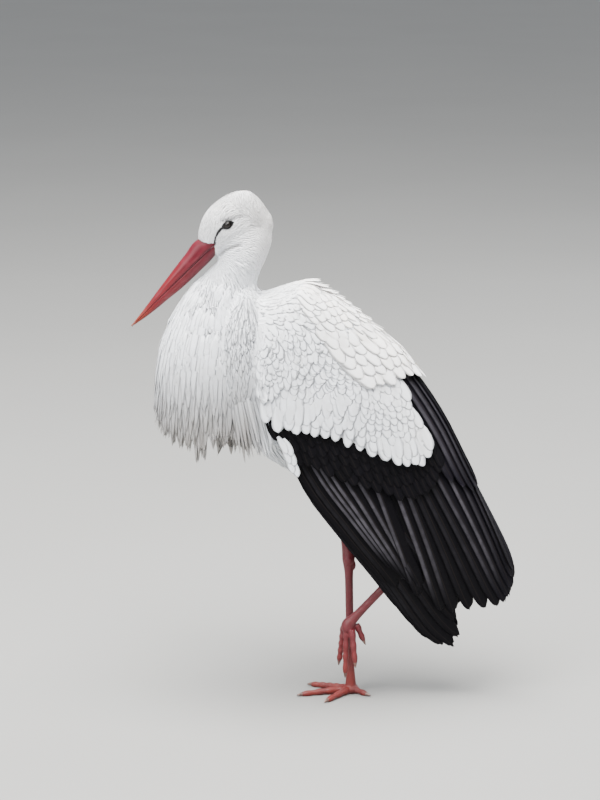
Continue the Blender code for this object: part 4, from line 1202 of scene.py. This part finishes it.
def tube(stations, sides=20):
    """A closed round skin along a path of (x, y, z, radius), smoothed between the stations."""
    rows = np.array(stations, float)
    padded = np.vstack([2 * rows[0] - rows[1], rows, 2 * rows[-1] - rows[-2]])
    fine = []
    for a, b, c, d in zip(padded, padded[1:], padded[2:], padded[3:]):
        for t in np.arange(0, 1, 0.2):
            bend = (2 * a - 5 * b + 4 * c - d) * t**2 + (3 * b - a - 3 * c + d) * t**3
            fine.append(0.5 * (2 * b + (c - a) * t + bend))
    fine = np.array([*fine, rows[-1]])
    ahead = unit(np.gradient(fine[:, :3], axis=0))
    turn = round_turn(sides)
    side = unit(np.cross(ahead[0], (0.1, 1.0, 0.13)))
    rings = []
    for p, way in zip(fine, ahead):
        side = unit(side - way * side.dot(way))
        ring = np.cos(turn)[:, None] * side + np.sin(turn)[:, None] * np.cross(way, side)
        rings.append(p[:3] + p[3] * ring)
    return loft(rings)


def toe(start, ahead, length, joints, root, tip, droop):
    """A toe that narrows from root to tip, with a swelling at each joint, and droops onto the floor."""
    steps = 2 * joints + 2
    path = []
    for i in range(steps + 1):
        share = i / steps
        place = start + ahead * length * share - np.array((0, 0, droop * share * share))
        path.append((*place, root + (tip - root) * share + (0.75 if i % 2 else -0.35)))
    return tube(path, 18)


def claw(start, ahead, drop, base=3.0, length=9.5):
    """A short curved claw, set back a little into the end of its toe."""
    path = []
    for share in np.linspace(-0.25, 1, 9):
        place = start + ahead * length * share + np.array((0, 0, 0.6 - drop * max(share, 0) ** 2))
        path.append((*place, base * (1 - max(share, 0)) ** 0.75 + 0.25))
    return tube(path, 14)


def joined(name, solids):
    """Several solids as one piece."""
    faces, start = [], 0
    for points, own_faces in solids:
        faces += [tuple(k + start for k in face) for face in own_faces]
        start += len(points)
    return new_object(name, np.vstack([points for points, _ in solids]), faces)


def finish_leg(side_name, solids, claws, toes):
    """Casts the hide over a leg, and dresses it and its claws, no lower than the floor."""
    leg = cast_over(f"leg_skin_{side_name}", solids, LEG_VOXEL, 3)
    nails = joined(f"claws_{side_name}", claws)
    for made in (leg, nails):
        points = read(made.data, "vertices", "co")
        points[:, 2] = np.maximum(points[:, 2], 0.0)
        made.data.vertices.foreach_set("co", points.ravel())
    dress(leg, red_leg, "leg_red", *[f"{part}_{side_name}" for part in ("shank", "tarsus", "palm")],
          *[f"toe_{name}_{side_name}" for name in toes])
    dress(nails, claw_horn, "claw_horn", *[f"claw_{name}_{side_name}" for name in toes])


# The standing right leg.
solids = [
    tube([(-11, 26, 318, 9), (-16, 22, 297, 7.6), (-12.5, 19.5, 275, 7.0), (-8, 16, 250, 7.9),
          (-5, 13.8, 235, 10.0), (-4, 13, 225, 10.4), (-3.7, 12.4, 214, 8.6), (-3.3, 11, 198, 7.0),
          (-2.6, 8.6, 160, 6.7), (-1.4, 4.6, 95, 6.6), (-0.5, 1.6, 45, 6.8), (0, 0.4, 24, 8.0),
          (0, 0, 12, 9.5)]),
    blob((-4.5, 19, 226), (7.9, 6.5, 9.4)),
    blob((-4.0, 7, 226), (7.9, 6.5, 9.4)),
    blob((3, 12, 216), (5.2, 5.2, 8.3)),
    blob((0, 0, 7), (14, 14, 8.7)),
]
claws = []
for name, (heading, span, joints) in STANDING_TOES.items():
    turn = math.radians(heading)
    ahead = np.array((-math.cos(turn), -math.sin(turn), 0.0))
    start = ahead * 6.0 + np.array((0, 0, 6.2))
    solids.append(toe(start, ahead, span + 9.0, joints, 5.2 if name == "hind" else 6.2, 4.1, 2.6))
    claws.append(claw(start + ahead * (span + 9.0) + np.array((0, 0, -3.0)), ahead, 1.6))
finish_leg("right", solids, claws, STANDING_TOES)


def between(start, end, *stations):
    """Stations of a leg's path: the share of start in each place, and the radius there."""
    return [(*(start * share + end * (1 - share)), radius) for share, radius in stations]


# The raised left leg, its foot hanging.
solids = [
    tube([(68, -42, 338, 9),
          *between(RAISED_KNEE, RAISED_HEEL, (1, 7.6), (0.6, 7.2), (0.25, 8.4), (0, 10.4))]),
    tube([(*(RAISED_HEEL + (2, 0, 3)), 8.5),
          *between(RAISED_HEEL, RAISED_PALM, (1, 10.2), (0.92, 8.4), (0.8, 7.0), (0.5, 6.7), (0.2, 6.7),
                   (0.07, 7.8), (0, 10.6)),
          (*(RAISED_PALM + (-1.5, 0, -7)), 11.0), (*(RAISED_PALM + (-2, 0, -13)), 8.6)]),
    blob(RAISED_HEEL + (1, 5.5, 1), (8.1, 6.7, 8.1)),
    blob(RAISED_HEEL + (1, -5.5, 1), (8.1, 6.7, 8.1)),
]
claws = []
for offset, ahead, span, joints in RAISED_TOES.values():
    ahead = unit(np.array(ahead, float))
    start = RAISED_PALM + offset - ahead * 5.0
    solids.append(toe(start, ahead, span + 5.0, joints, 5.6, 4.0, 0.0))
    claws.append(claw(start + ahead * (span + 5.0), ahead, 0.0))
finish_leg("left", solids, claws, RAISED_TOES)
